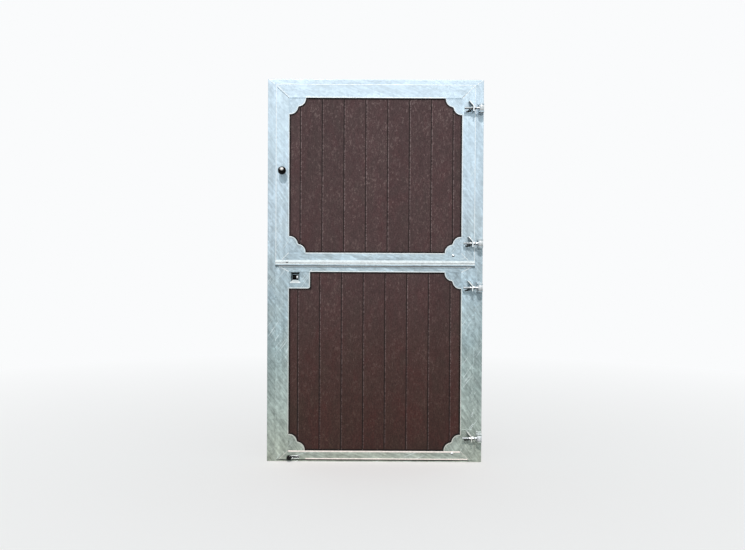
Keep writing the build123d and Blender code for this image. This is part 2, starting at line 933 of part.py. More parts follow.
def make_door():
    """Every piece of the door, by the name of its file."""
    jamb = make_jamb()
    pieces = {
        "jamb_left": jamb,
        "jamb_right": mirrored(jamb),
        "head": make_head(),
        "sill": make_sill(),
        "latch_keeper": make_latch_keeper(),
        "rod_keepers": make_rod_keeper(lock_rod_y, recess_z) + make_rod_keeper(foot_rod_y, foot_level),
    }
    pins = Part()
    for number, level in enumerate(upper.hinges + lower.hinges, start=1):
        pieces[f"hinge_fork_{number}"] = make_fork(level)
        pins += make_pin(level)
    pieces["hinge_pins"] = pins
    pieces.update(make_leaf(upper))
    pieces["drip_strip"] = make_drip_strip()
    pieces["latch_knob"] = make_latch_knob()
    pieces["latch_spindle"] = make_latch_spindle()
    pieces["latch_tongue"] = make_latch_tongue()
    pieces.update(make_leaf(lower))
    pieces["lock_plate"] = make_lock_plate()
    pieces["lock_bolt"] = make_lock_bolt()
    pieces["foot_bolt_guide"] = make_foot_guide()
    pieces["foot_bolt_rod"] = make_foot_rod()
    pieces["foot_bolt_knob"] = make_foot_knob()
    return pieces


os.makedirs("parts", exist_ok=True)
for piece_name, piece in make_door().items():
    export_step(piece, f"parts/{piece_name}.step")
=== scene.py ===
# %% [markdown]
# # A dutch stable door in galvanised steel and brown planks
#
# Two leaves, one above the other, swing outwards on four bolt hinges in a frame of steel
# angle. The CAD model gives every piece its size and place. This script gives its pieces a
# finish, and makes those whose surface matters most, the planks and the turned and threaded
# fittings, again with numpy. Everything is in metres, X to the right as seen from outside,
# the outside facing -Y, and Z up from the underside of the sill.

import math

import bpy
import numpy as np
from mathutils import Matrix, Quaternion, Vector


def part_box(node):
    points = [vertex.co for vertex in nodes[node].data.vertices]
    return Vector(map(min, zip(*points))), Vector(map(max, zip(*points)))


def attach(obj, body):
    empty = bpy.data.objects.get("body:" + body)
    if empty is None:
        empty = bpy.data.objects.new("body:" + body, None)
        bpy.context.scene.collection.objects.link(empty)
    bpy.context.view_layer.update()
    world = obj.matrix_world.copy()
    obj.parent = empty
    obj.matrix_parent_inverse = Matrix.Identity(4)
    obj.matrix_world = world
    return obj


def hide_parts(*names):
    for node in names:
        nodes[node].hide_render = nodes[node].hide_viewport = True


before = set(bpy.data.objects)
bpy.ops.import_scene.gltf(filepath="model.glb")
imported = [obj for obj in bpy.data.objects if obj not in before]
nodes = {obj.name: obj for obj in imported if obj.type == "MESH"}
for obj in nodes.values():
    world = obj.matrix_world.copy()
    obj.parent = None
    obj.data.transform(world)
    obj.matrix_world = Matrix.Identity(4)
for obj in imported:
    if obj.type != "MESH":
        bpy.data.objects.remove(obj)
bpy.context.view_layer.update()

# %% [markdown]
# ## Where things are
#
# Sizes that the CAD holds are read from it, so that nothing here can drift away from it. A
# right stile gives the edge of a leaf's panel, the rails its levels, and each hinge fork the
# level of its hinge.

# %% Read the levels and edges from the CAD


def low(node, axis):
    """Lowest value of a CAD node along an axis, 0 for X, 1 for Y and 2 for Z."""
    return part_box(node)[0][axis]


def high(node, axis):
    """Highest value of a CAD node along an axis."""
    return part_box(node)[1][axis]


def middle(node, axis):
    """The place halfway between them."""
    return (low(node, axis) + high(node, axis)) / 2


panel_half = low("upper_right_stile", 0)
leaf_front = low("upper_right_stile", 1)
leaf_wall = 0.004
plate_front = leaf_front + leaf_wall
frame_front = low("head", 1)
frame_half = high("head", 0)
frame_height = high("head", 2)
hinge_levels = [middle(f"hinge_fork_{number}", 2) for number in (1, 2, 3, 4)]
leaf_hinges = {"upper": hinge_levels[:2], "lower": hinge_levels[2:]}
leaf_levels = {leaf: (high(f"{leaf}_bottom_rail", 2), low(f"{leaf}_top_rail", 2)) for leaf in leaf_hinges}
print("panel", panel_half, "hinges", hinge_levels, "panels", leaf_levels)

# %% [markdown]
# ## Skins from rings of points
#
# Nearly every new piece is a skin through rings of points: a plank is its section repeated
# up its length, a turned part is a circle whose radius follows a profile, and a weld is a
# half ellipse carried along a seam. One helper turns rings into faces. The volume that they
# enclose tells which way round they must go: it is negative when a skin is inside out.

# %% Rings to faces


def skin(rings, closed=False):
    """Points and faces of a skin through rings x points x 3. Ring r, point c meets ring r + 1,
    point c + 1 in a quad. A closed skin joins its last ring to its first, another is filled at
    both ends. The faces turn outwards: the sum of corner . (corner x corner) / 6 is positive."""
    rings = np.asarray(rings, float)
    rows, columns, _ = rings.shape
    points = rings.reshape(-1, 3)
    grid = np.arange(rows * columns).reshape(rows, columns)
    ends = grid[:0] if closed else np.stack([grid[0, ::-1], grid[-1]])
    here = np.vstack([grid, grid[:1]]) if closed else grid
    beside = np.roll(here, -1, axis=1)
    quads = np.stack([here[:-1], beside[:-1], beside[1:], here[1:]], axis=-1).reshape(-1, 4)
    if enclosed(points, quads) + enclosed(points, ends) < 0:
        quads = quads[:, ::-1]
        ends = ends[:, ::-1]
    return points, quads.tolist() + ends.tolist()


def enclosed(points, faces):
    """Volume under faces of equal length, each cut into a fan of triangles from its corner."""
    a = points[faces[:, :1]]
    b = points[faces[:, 1:-1]]
    c = points[faces[:, 2:]]
    return float(np.sum(a * np.cross(b, c))) / 6


# %% [markdown]
# A piece may be made of several skins, such as the bolts of one leaf. The next helper joins
# them in one mesh, shades it smoothly where faces meet at a small angle, gives it its finish,
# lets the piece ride on its body, and hides the CAD nodes it stands for.

# %% Skins to one piece on a body


def make_piece(name, skins, finish, body, stands_for=(), crease=35):
    """One object from skins. Faces meet smoothly below the crease, an angle in degrees."""
    points = np.concatenate([skin_points for skin_points, _ in skins])
    faces = []
    start = 0
    for skin_points, skin_faces in skins:
        faces += [[start + corner for corner in face] for face in skin_faces]
        start += len(skin_points)
    mesh = bpy.data.meshes.new(name)
    mesh.from_pydata(points.tolist(), [], faces)
    mesh.polygons.foreach_set("use_smooth", np.ones(len(faces), bool))
    mesh.set_sharp_from_angle(angle=math.radians(crease))
    mesh.materials.append(finish)
    piece = bpy.data.objects.new(name, mesh)
    bpy.context.scene.collection.objects.link(piece)
    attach(piece, body)
    if stands_for:
        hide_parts(*stands_for)
    print(name, len(faces), "faces")
    return piece


# %% [markdown]
# ## Turned parts, and seams
#
# A turned part follows a profile, pairs of a distance along the axis and a radius. A radius
# of a tenth of a millimetre closes it at a pole. A seam is carried along a path, and all
# seams of this door lie on surfaces that face outwards.

# %% Turned and swept skins

outwards = np.array([0.0, -1.0, 0.0])


def circle(count):
    """Angles once round, from 0."""
    return np.linspace(0, 2 * math.pi, count, endpoint=False)


def about(base, direction, s, radius, t):
    """Rings about an axis: base + s along + radius (cos t first + sin t second), where the two
    other directions are at right angles to the axis and to each other."""
    along = np.array(direction, float)
    along /= np.linalg.norm(along)
    helper = np.array([0.0, 0.0, 1.0]) if abs(along[2]) < 0.9 else np.array([1.0, 0.0, 0.0])
    first = np.cross(along, helper)
    first /= np.linalg.norm(first)
    spoke = np.cos(t)[..., None] * first + np.sin(t)[..., None] * np.cross(along, first)
    return np.array(base) + s[..., None] * along + radius[..., None] * spoke


def turned(base, direction, profile, around=40, closed=False):
    """A body of revolution. A closed profile comes back to its start, as in a ring."""
    s, radius = np.array(profile, float).T[:, :, None]
    return skin(about(base, direction, s, radius, circle(around)[None, :]), closed)


def seam(path, width, height, ripple=0.0, pitch=0.004, closed=False):
    """A half ellipse carried along a path: path + width / 2 cos t side + height sin t outwards,
    where the height swells and sinks by the ripple once each pitch."""
    path = np.array(path, float)
    tangent = np.gradient(path, axis=0)
    if closed:
        tangent = np.roll(path, -1, axis=0) - np.roll(path, 1, axis=0)
    tangent /= np.linalg.norm(tangent, axis=1)[:, None]
    side = np.cross(tangent, outwards)
    run = np.concatenate([[0.0], np.cumsum(np.linalg.norm(np.diff(path, axis=0), axis=1))])
    swell = height * (1 + ripple * np.sin(2 * math.pi * run / pitch))
    t = np.linspace(0, math.pi, 9)
    across = (width / 2) * np.cos(t)[None, :, None] * side[:, None, :]
    proud = swell[:, None, None] * np.sin(t)[None, :, None] * outwards
    return skin(path[:, None, :] + across + proud, closed)


def line(start, end, step=0.004):
    """Points from one place to another, a step apart."""
    start = np.array(start, float)
    end = np.array(end, float)
    count = max(2, int(np.linalg.norm(end - start) / step) + 1)
    return start + np.linspace(0, 1, count)[:, None] * (end - start)


def flat_path(x, y, z):
    """A path at one depth Y, through places given by X and Z."""
    return np.stack([x, np.full(len(x), y), z], axis=-1)


# %% [markdown]
# # Finishes
#
# Each finish is a small tree of shader nodes. Every call of the class below adds a node and
# gives back its output, so a finish reads like a recipe. Patterns lie on Object coordinates,
# which are metres here, so a scale of 50 means a feature of 20 mm.

# %% A finish under construction

even = (1, 1, 1)


def shade(red, green, blue):
    """A colour from 0 to 255, as on a screen, in the linear values of a shader:
    ((c + 0.055) / 1.055) to the power 2.4, or c / 12.92 in the very dark."""
    levels = np.array([red, green, blue]) / 255
    linear = np.where(levels > 0.04045, ((levels + 0.055) / 1.055) ** 2.4, levels / 12.92)
    return (*[float(value) for value in linear], 1.0)


def connect(tree, node, inputs):
    """Links a node's inputs, or gives them their values."""
    for socket, value in inputs.items():
        if isinstance(value, bpy.types.NodeSocket):
            tree.links.new(value, node.inputs[socket])
        else:
            node.inputs[socket].default_value = value


def add_node(tree, kind, inputs, **settings):
    """One shader node with its settings and inputs."""
    made = tree.nodes.new(kind)
    for setting, value in settings.items():
        setattr(made, setting, value)
    connect(tree, made, inputs)
    return made


class Finish:
    """A material with a principled shader, and calls that each add a node to it."""

    def __init__(self, name, metallic=0.0, roughness=0.5):
        self.material = bpy.data.materials.new(name)
        self.material.use_nodes = True
        self.tree = self.material.node_tree
        self.tree.nodes.clear()
        self.shader = self.add("ShaderNodeBsdfPrincipled", {"Metallic": metallic, "Roughness": roughness})
        self.output = self.add("ShaderNodeOutputMaterial", {"Surface": self.shader.outputs["BSDF"]})
        self.place = self.add("ShaderNodeTexCoord").outputs["Object"]

    def add(self, kind, inputs=None, **settings):
        """One node in this finish."""
        return add_node(self.tree, kind, inputs or {}, **settings)

    def wear(self, **sockets):
        """Sets sockets of the shader, named with _ for a space, and gives the material back."""
        connect(self.tree, self.shader, {name.replace("_", " "): value for name, value in sockets.items()})
        return self.material

    def noise(self, stretch, scale=1.0, detail=4.0, rough=0.5, bend=0.0):
        """Cloudy noise about 0.5, stretched by a scale along each axis. A fourth number turns
        it about Y by an angle in degrees."""
        turn = math.radians(stretch[3]) if len(stretch) == 4 else 0.0
        place = self.add("ShaderNodeMapping", {"Vector": self.place, "Rotation": (0.0, turn, 0.0)}).outputs[0]
        place = self.add("ShaderNodeMapping", {"Vector": place, "Scale": stretch[:3]}).outputs[0]
        inputs = {"Vector": place, "Scale": scale, "Detail": detail, "Roughness": rough, "Distortion": bend}
        return self.add("ShaderNodeTexNoise", inputs).outputs["Fac"]

    def crystals(self, scale):
        """A random grey for each cell of a cracked pattern, as in the crystals of cast zinc."""
        cells = self.add("ShaderNodeTexVoronoi", {"Vector": self.place, "Scale": scale})
        return self.add("ShaderNodeSeparateColor", {"Color": cells.outputs["Color"]}).outputs["Red"]

    def height(self):
        """Height above the sill's underside as a share of the frame's height."""
        parts = self.add("ShaderNodeSeparateXYZ", {"Vector": self.place})
        return self.between(parts.outputs["Z"], 0.0, frame_height)

    def facing(self, direction):
        """How far the surface faces a direction of the object's own axes, from -1 to 1."""
        normal = self.add("ShaderNodeTexCoord").outputs["Normal"]
        towards = {0: normal, 1: tuple(Vector(direction).normalized())}
        return self.add("ShaderNodeVectorMath", towards, operation="DOT_PRODUCT").outputs["Value"]

    def marked(self, attribute):
        """A value that the piece's own mesh holds for each of its points."""
        return self.add("ShaderNodeAttribute", attribute_name=attribute).outputs["Fac"]

    def between(self, value, start, end, new_start=0.0, new_end=1.0):
        """A value moved from one range to another, and held at its ends."""
        inputs = {"From Min": start, "From Max": end, "To Min": new_start, "To Max": new_end}
        return self.add("ShaderNodeMapRange", {"Value": value, **inputs}).outputs["Result"]

    def times(self, first, second):
        """One value times another."""
        return self.add("ShaderNodeMath", {0: first, 1: second}, operation="MULTIPLY").outputs[0]

    def ramp(self, value, stops):
        """Colours along a value, each stop a place from 0 to 1 and a colour for shade."""
        made = self.add("ShaderNodeValToRGB", {"Fac": value})
        elements = made.color_ramp.elements
        elements[0].position, elements[1].position = stops[0][0], stops[-1][0]
        elements[0].color, elements[1].color = shade(*stops[0][1:]), shade(*stops[-1][1:])
        for place, *colour in stops[1:-1]:
            elements.new(place).color = shade(*colour)
        return made.outputs["Color"]

    def mix(self, share, first, second, kind="MIX"):
        """Two colours blended by a share, or multiplied."""
        inputs = {0: share, 6: first, 7: second}
        return self.add("ShaderNodeMix", inputs, data_type="RGBA", blend_type=kind).outputs[2]

    def vary(self, colour, value, start, end, least, most):
        """A colour made darker and lighter, between two shares, by a value's range."""
        return self.mix(1.0, colour, self.between(value, start, end, least, most), "MULTIPLY")

    def bump(self, value, depth, strength, under=None):
        """Relief from a value, as deep as given in metres, over another relief if there is one."""
        inputs = {"Height": value, "Distance": depth, "Strength": strength}
        if under is not None:
            inputs["Normal"] = under
        return self.add("ShaderNodeBump", inputs).outputs["Normal"]


# %% [markdown]
# ## Galvanised steel
#
# Steel that was dipped in molten zinc shows faint patches where the zinc froze in crystals,
# and streaks where it ran off. Its colour also follows the height: pale blue high on this door,
# a dull greenish grey near the ground, partly weathering and partly a painted shade that deepens
# towards the ground. So patterns multiply a colour that follows the height. One shader serves
# uprights, rails and plates, which differ in the way their streaks run.

# %% Galvanised steel


def galvanised(name, streaks, scrape, tone=1.0, fitting=False):
    """The tint of the height, partly a painted shade towards the ground, times crystals, streaks,
    and scrapes that run at an angle, with dull patches. The marks are weaker at the top. A fitting
    gets a painted highlight where it faces up and a painted shade where it faces down."""
    finish = Finish(name, metallic=0.25)
    # Pale high up, dull low down: partly weathering, partly a painted shade towards the ground.
    weathered_and_shaded_by_height = [
        (0.0, 166, 174, 162),
        (0.1, 158, 170, 163),
        (0.25, 155, 173, 173),
        (0.42, 169, 190, 200),
        (0.62, 191, 209, 221),
        (0.85, 206, 227, 242),
        (1.0, 213, 232, 247),
    ]
    height = finish.height()
    tint = finish.ramp(height, weathered_and_shaded_by_height)
    patch = finish.noise((7, 7, 4), detail=5, rough=0.6, bend=0.6)
    dull = finish.mix(finish.between(patch, 0.42, 0.7, 0.0, 0.45), tint, shade(168, 180, 176))
    crystal = finish.crystals(75)
    spangled = finish.vary(dull, crystal, 0, 1, 0.84, 1.11)
    run = finish.noise(streaks, rough=0.6, bend=0.3)
    streaked = finish.vary(spangled, run, 0.3, 0.7, 0.72, 1.24)
    scrape_and_highlight = finish.noise((75, 75, 9, scrape), detail=3, rough=0.6, bend=0.4)
    scraped = finish.vary(streaked, scrape_and_highlight, 0.34, 0.66, 0.74, 1.24)
    hair = finish.noise((130, 130, 5, -scrape), detail=2, bend=0.1)
    here = finish.noise((5, 5, 5, 15), detail=2)
    scratch = finish.times(finish.between(hair, 0.63, 0.68, 0.0, 0.75), finish.between(here, 0.48, 0.6))
    scratched = finish.mix(scratch, scraped, shade(226, 236, 238))
    calm = finish.mix(finish.between(height, 0.3, 0.9, 1.0, 0.42), tint, scratched)
    colour = finish.mix(1.0, calm, (tone, tone, tone, 1.0), "MULTIPLY")
    if fitting:
        # Painted light: faces that look up are painted pale as a highlight, faces that look down near black
        # as shade.
        up = finish.facing((0, 0, 1))
        top_highlight = finish.mix(finish.between(up, 0.15, 0.7, 0.0, 0.85), colour, shade(250, 253, 255))
        colour = finish.mix(finish.between(up, -0.5, -0.1, 0.92, 0.0), top_highlight, shade(24, 27, 29))
    fine = finish.noise(even, 420, detail=3)
    relief = finish.bump(fine, 0.00015, 0.6, under=finish.bump(run, 0.0011, 0.5))
    return finish.wear(Base_Color=colour, Roughness=finish.between(crystal, 0, 1, 0.36, 0.54), Normal=relief)


upright_steel = galvanised("Galvanised upright", (34, 34, 2.2), 36)
jamb_steel = galvanised("Galvanised jamb", (30, 30, 2.6), 36, 0.93)
level_steel = galvanised("Galvanised rail", (2.2, 34, 34), 70)
plate_steel = galvanised("Galvanised plate", (14, 14, 30, 38), 36, 0.93)
lock_steel = galvanised("Galvanised lock plate", (14, 14, 30, 38), 36, 0.88)
# The fittings' copy carries a painted highlight on top and a painted shade beneath.
lit_fitting_steel = galvanised("Galvanised fitting with painted light", (34, 34, 34), 36, fitting=True)
shade_dark_steel = galvanised("Painted shade steel", (90, 90, 90), 36, 0.07)

# %% [markdown]
# ## Bright zinc, and the painted edge highlight
#
# The bolts, nuts and pins have a thinner and brighter coat with a sharper gloss, and a painted
# shade where they face down. Where zinc ran together along an edge it stands proud as a smooth
# line, a piece of its own further down, and its pale colour is a painted highlight.

# %% Bright zinc and painted edge highlights


def bright_zinc():
    """Light, cold grey, glossier where use has polished it, with a near black painted shade where it faces
    down.
    """
    finish = Finish("Bright zinc", metallic=0.6)
    cloud = finish.noise(even, 70, detail=5, rough=0.6)
    tone = finish.ramp(cloud, [(0.3, 190, 197, 200), (0.6, 240, 245, 248)])
    # Painted shade: faces that look down are darkened to near black.
    darkening = finish.between(finish.facing((0, 0, 1)), -0.5, 0.1, 0.92, 0.0)
    colour = finish.mix(darkening, tone, shade(22, 24, 25))
    grain = finish.bump(finish.noise(even, 900, detail=2), 0.0001, 0.5)
    return finish.wear(Base_Color=colour, Roughness=finish.between(cloud, 0.3, 0.7, 0.42, 0.22), Normal=grain)


def edge_highlight_finish(name, ground, glow=1.0):
    """A pale line, a painted highlight, white high up, and near the ground in a tone given. A glow
    over one makes it lighter, for a band that lies flat to the sun."""
    finish = Finish(name, metallic=0.15, roughness=0.38)
    heights = [(0.0, *ground), (0.3, 206, 212, 210), (0.6, 232, 240, 244), (1.0, 244, 250, 254)]
    broken = finish.noise((60, 60, 60), detail=3, rough=0.6)
    pale = finish.ramp(finish.height(), heights)
    colour = finish.vary(pale, broken, 0.35, 0.6, 0.86 * glow, 1.04 * glow)
    return finish.wear(Base_Color=colour, Normal=finish.bump(broken, 0.0004, 0.4))


zinc = bright_zinc()
# Pale lines that paint the highlight along edges, on bands that face the sun, and on the lower leaf's foot.
edge_highlight = edge_highlight_finish("Painted edge highlight", (200, 200, 192))
band_highlight = edge_highlight_finish("Painted band highlight", (200, 200, 192), 1.1)
warm_highlight = edge_highlight_finish("Warm painted edge highlight", (248, 236, 230))

# %% [markdown]
# ## Brown planks
#
# The planks are dark brown, darker towards the ground, with fine fibres, short pale flecks,
# and patches that lean to red or to olive. The finish reads three values from each point of
# a plank's mesh: the first is dirt in the joints and a painted shade along the steel, `arris` is
# a painted highlight on the left edge where it catches the light, and `board` makes each plank
# a little lighter or darker.

# %% Brown planks


def brown_planks():
    """Fibre and flecks over a brown that follows the height, with dirt in the joints, painted shade along the
    steel, and painted highlights on the left edges.
    """
    finish = Finish("Brown plank")
    by_height = [
        (0.0, 48, 25, 18),
        (0.12, 55, 31, 24),
        (0.3, 63, 41, 37),
        (0.5, 71, 52, 52),
        (1.0, 75, 57, 58),
    ]
    casts = [(0.3, 82, 44, 48), (0.5, 70, 53, 54), (0.7, 62, 60, 56)]
    fleck_heights = [(0.0, 78, 58, 50), (0.3, 98, 78, 74), (1.0, 128, 110, 108)]
    height = finish.height()
    patch = finish.noise((11, 11, 4.5), rough=0.6, bend=0.8)
    mottled = finish.mix(0.22, finish.ramp(height, by_height), finish.ramp(patch, casts))
    cloud = finish.noise((16, 16, 9), detail=5, rough=0.65, bend=1.2)
    clouded = finish.vary(mottled, cloud, 0.3, 0.7, 0.88, 1.12)
    fibre = finish.noise((240, 240, 40), detail=5, rough=0.65, bend=0.2)
    streaky = finish.vary(clouded, fibre, 0.3, 0.7, 0.72, 1.28)
    dots = finish.noise((150, 150, 150), detail=3, rough=0.7)
    fibrous = finish.vary(streaky, dots, 0.35, 0.65, 0.72, 1.28)
    fleck = finish.noise((100, 100, 60), detail=5, rough=0.75)
    fleck_share = finish.between(fleck, 0.53, 0.64, 0.0, 0.9)
    pale = finish.times(fleck_share, finish.between(cloud, 0.40, 0.62, 0.2, 1.0))
    flecked = finish.mix(pale, fibrous, finish.ramp(height, fleck_heights))
    board = finish.vary(flecked, finish.marked("board"), 0, 1, 0.92, 1.08)
    # Painted highlight: the left edge of each plank is lit in broken dashes, more so higher up.
    dashes = finish.noise((20, 20, 130), detail=3, rough=0.7)
    painted_highlight = finish.times(finish.marked("arris"), finish.between(dashes, 0.46, 0.58, 0.12, 1.0))
    highlight_strength = finish.times(painted_highlight, finish.between(height, 0.2, 0.7, 0.4, 0.9))
    lit = finish.mix(highlight_strength, board, shade(150, 130, 130))
    # Dirt in the joints, and a painted shade along the steel, both near black.
    dirt_and_shade = finish.mix(finish.marked("joint_dirt_and_shade"), lit, shade(14, 11, 10))
    finish.wear(Specular_IOR_Level=0.22, Roughness=finish.between(fibre, 0.3, 0.7, 0.78, 0.58))
    long_grain = finish.bump(fibre, 0.0009, 0.6)
    return finish.wear(Base_Color=dirt_and_shade, Normal=finish.bump(fleck, 0.0004, 0.5, under=long_grain))


plank_brown = brown_planks()

# %% [markdown]
# ## Dark finishes
#
# The knob of the latch is nearly black and smooth, with a painted highlight, near white, on
# the part of the ball that faces up and out. The foot bolt's rod and knob are black with grease,
# and the same near black is a painted shade on the flush bolt's rod, in slits, under the drip
# strip and in the finger recess. A dark brown sheet is a painted shade on the sill.

# %% Dark knob, grease and painted shade


def dark_lacquer():
    """Nearly black with a thin clear coat, and a near white painted highlight where the ball faces up and
    out.
    """
    finish = Finish("Dark lacquer")
    wear = finish.noise(even, 160)
    black = finish.ramp(wear, [(0.3, 3, 2, 2), (0.7, 9, 8, 7)])
    # Painted highlight: near white where the ball faces up and out, broken by noise.
    highlight_facing = finish.between(finish.facing((0.02, -0.89, 0.40)), 0.86, 0.975)
    painted_highlight = finish.times(highlight_facing, finish.between(wear, 0.35, 0.62, 0.5, 1.0))
    finish.wear(Specular_IOR_Level=0.05, Coat_Weight=0.08, Coat_Roughness=0.12)
    colour = finish.mix(painted_highlight, black, shade(255, 250, 246))
    return finish.wear(Base_Color=colour, Roughness=finish.between(wear, 0.3, 0.7, 0.2, 0.3))


def grease_and_shade_finish():
    """Near black with smears: the foot bolt greased, and a painted shade on the flush bolt's rod, in slits,
    folds and the finger recess.
    """
    finish = Finish("Grease and painted shade")
    smear = finish.noise((40, 90, 90), rough=0.6)
    colour = finish.ramp(smear, [(0.35, 6, 5, 5), (0.7, 30, 28, 27)])
    finish.wear(Specular_IOR_Level=0.1)
    return finish.wear(Base_Color=colour, Roughness=finish.between(smear, 0.3, 0.7, 0.8, 0.6))


def sill_shade_finish():
    """Dark earth brown, paler in crumbs, for a painted shade on the sill."""
    finish = Finish("Painted sill shade", roughness=0.95)
    crumb = finish.noise(even, 110, detail=6, rough=0.7)
    colour = finish.ramp(crumb, [(0.35, 26, 19, 14), (0.7, 74, 60, 46)])
    return finish.wear(Base_Color=colour, Specular_IOR_Level=0.1)


lacquer = dark_lacquer()
# Near black: real on the foot bolt, a painted shade on the flush bolt's rod, the slits, the strip's fold and
# the recess.
grease_and_shade = grease_and_shade_finish()
sill_shade_brown = sill_shade_finish()

# %% [markdown]
# # The planks
#
# Each leaf holds nine planks with tongue and groove. In CAD a plank is a plain bar. Real ones
# are a little hollow across, with long ridges of grain and rounded edges. So each plank is
# drawn again: its section is one closed line, repeated at many levels, and the points of its
# front face sink by a relief. That is value noise, random numbers on a lattice, joined by a
# smooth step. Cells that are 6 mm wide and 120 mm high make it run along the plank.

# %% Relief along the grain

plank_front = low("upper_plank_2", 1)
plank_back = high("upper_plank_2", 1)
plank_count = 9
arris_radius = 0.0025
tongue_reach = 0.0105
tongue_half = 0.006
groove_half = 0.0064
groove_depth = 0.0104


def value_noise(x, z, cell_x, cell_z, seed):
    """Noise from 0 to 1. The four random corners of a lattice cell are mixed by the smooth step
    f f (3 - 2 f) of the place inside the cell, first along X and then along Z."""
    u = (x - x.min()) / cell_x
    v = (z - z.min()) / cell_z
    column = u.astype(int)
    row = v.astype(int)
    lattice = np.random.default_rng(seed).random((row.max() + 2, column.max() + 2))
    f = u - column
    g = v - row
    f = f * f * (3 - 2 * f)
    g = g * g * (3 - 2 * g)
    lower = lattice[row, column] * (1 - f) + lattice[row, column + 1] * f
    upper = lattice[row + 1, column] * (1 - f) + lattice[row + 1, column + 1] * f
    return lower * (1 - g) + upper * g


def grain_relief(x, z, seed):
    """How far the front sinks, in metres: ridges, slow waves and short nicks, 0.7 mm in all."""
    ridges = 0.00035 * value_noise(x, z, 0.006, 0.12, seed)
    waves = 0.00025 * value_noise(x, z, 0.030, 0.40, seed + 1)
    nicks = 0.00010 * value_noise(x, z, 0.004, 0.03, seed + 2)
    return ridges + waves + nicks


# %% [markdown]
# The section goes round the plank once: front face, tongue, back, groove. Beside each point
# it notes how much relief the point takes, how far it is rubbed, and how deep it lies in the
# joint.

# %% The section of a plank


def quarter(centre_x, centre_y, start):
    """A quarter circle of the arris radius: centre + radius (cos t, sin t), in four points."""
    t = np.radians(np.linspace(start, start + 90, 4))
    return centre_x + arris_radius * np.cos(t), centre_y + arris_radius * np.sin(t)


def step(x, reach, half, way):
    """The four corners of a tongue or a groove, at a side X and about the plank's middle."""
    level = (plank_front + plank_back) / 2 + way * half * np.array([-1, -1, 1, 1])
    return np.array([x, x + reach, x + reach, x]), level, 0.0, 0.0, 1.0


def plank_section(left, right, tongue, groove):
    """X and Y of the section, and for each point its share of relief, painted highlight and joint dirt."""
    inner_left = left + arris_radius
    inner_right = right - arris_radius
    front = plank_front + arris_radius
    back = plank_back - arris_radius
    face = np.linspace(inner_left, inner_right, int((right - left) / 0.003))
    # The left edge of the face takes a painted highlight; the right edge, by the joint, takes dirt.
    arris_highlight = np.clip(1 - (face - inner_left) / 0.004, 0, 1)
    edge_darkening = 0.8 * np.clip(1.2 - (inner_right - face) / 0.0035, 0, 1)
    parts = [(face, np.full(len(face), plank_front), 1.0, arris_highlight, edge_darkening)]
    parts.append((*quarter(inner_right, front, -90), 0.0, 0.0, 0.9))
    if tongue:
        parts.append(step(right, tongue_reach, tongue_half, 1))
    parts.append((*quarter(inner_right, back, 0), 0.0, 0.0, 0.4))
    parts.append((*quarter(inner_left, back, 90), 0.0, 0.0, 0.4))
    if groove:
        parts.append(step(left, groove_depth, groove_half, -1))
    # The left front arris: a painted highlight, and dirt towards the joint.
    scrape_and_highlight = np.array([0.0, 0.7, 1.0, 1.0])
    darkening = np.array([1.0, 0.6, 0.0, 0.0])
    parts.append((*quarter(inner_left, front, 180), 0.0, scrape_and_highlight, darkening))
    return [np.concatenate([np.broadcast_to(part[k], len(part[0])) for part in parts]) for k in range(5)]


# %% [markdown]
# A painted shade darkens the planks where they meet the steel in front of them, as the shadow
# of its edge. Its place is a distance: to the straight edges of the panel, to the two round lobes
# of each corner plate, and, at the upper left of the lower leaf, to the lock plate.

# %% Distance to the steel

lobe_radius = 0.049
lobe_step = 0.004
lobe_waist = lobe_radius + lobe_step
hollow_radius = 0.014
hollow_reach = lobe_radius + hollow_radius
hollow_out = math.sqrt(hollow_reach**2 - lobe_radius**2 / 2)
hollow_place = (lobe_waist + lobe_step) / 2 + hollow_out / math.sqrt(2)
lock_right = high("lock_plate", 0)
lock_foot = low("lock_plate", 2)
lower_top = leaf_levels["lower"][1]


def lobes(side, level):
    """Distance to the nearer of two discs, each the distance to its middle less its radius. The
    hollow between them is a third circle, and inside its wedge the distance is measured to it."""
    one = np.hypot(side - lobe_waist, level - lobe_step) - lobe_radius
    other = np.hypot(side - lobe_step, level - lobe_waist) - lobe_radius
    towards = (2 * hollow_place - side - level) / math.sqrt(2)
    away = np.hypot(side - hollow_place, level - hollow_place)
    in_hollow = towards > away * hollow_out / hollow_reach
    return np.where(in_hollow, hollow_radius - away, np.minimum(one, other))


def steel_distance(x, z, leaf):
    """Distance from places on the planks of a leaf to the outline of the steel around them."""
    bottom, top = leaf_levels[leaf]
    side = panel_half - np.abs(x)
    foot = z - bottom
    head = top - z
    upper_corner = lobes(side, head)
    if leaf == "lower":
        beyond_side = np.maximum(side - (lock_right + panel_half), 0)
        beyond_foot = np.maximum(head - (top - lock_foot), 0)
        upper_corner = np.where(x < 0, np.hypot(beyond_side, beyond_foot), upper_corner)
    corners = np.minimum(lobes(side, foot), upper_corner)
    return np.minimum(np.minimum(side, np.minimum(foot, head)), corners)


# %% [markdown]
# Two planks of the lower leaf are cut out where the slide bolts run. There every point that
# lies too far forward is pushed back to the pocket's floor. Levels are closer together at
# the pockets' ends and beside the rails, where the dirt line must stay sharp.

# %% Planks

lock_level = middle("lock_bolt", 2)
lock_pocket_half = 0.036
foot_travel = 0.056
pocket_play = 0.0015
lock_floor = high("lock_plate", 1) + pocket_play
foot_floor = high("foot_bolt_guide", 1) + pocket_play
bolt_pockets = [
    (high("lock_bolt", 0) + 0.002, lock_level - lock_pocket_half, lock_level + lock_pocket_half, lock_floor),
    (
        high("foot_bolt_rod", 0) + foot_travel + 0.002,
        low("lower_plank_1", 2) - 0.001,
        high("foot_bolt_rod", 2) + 0.006,
        foot_floor,
    ),
]


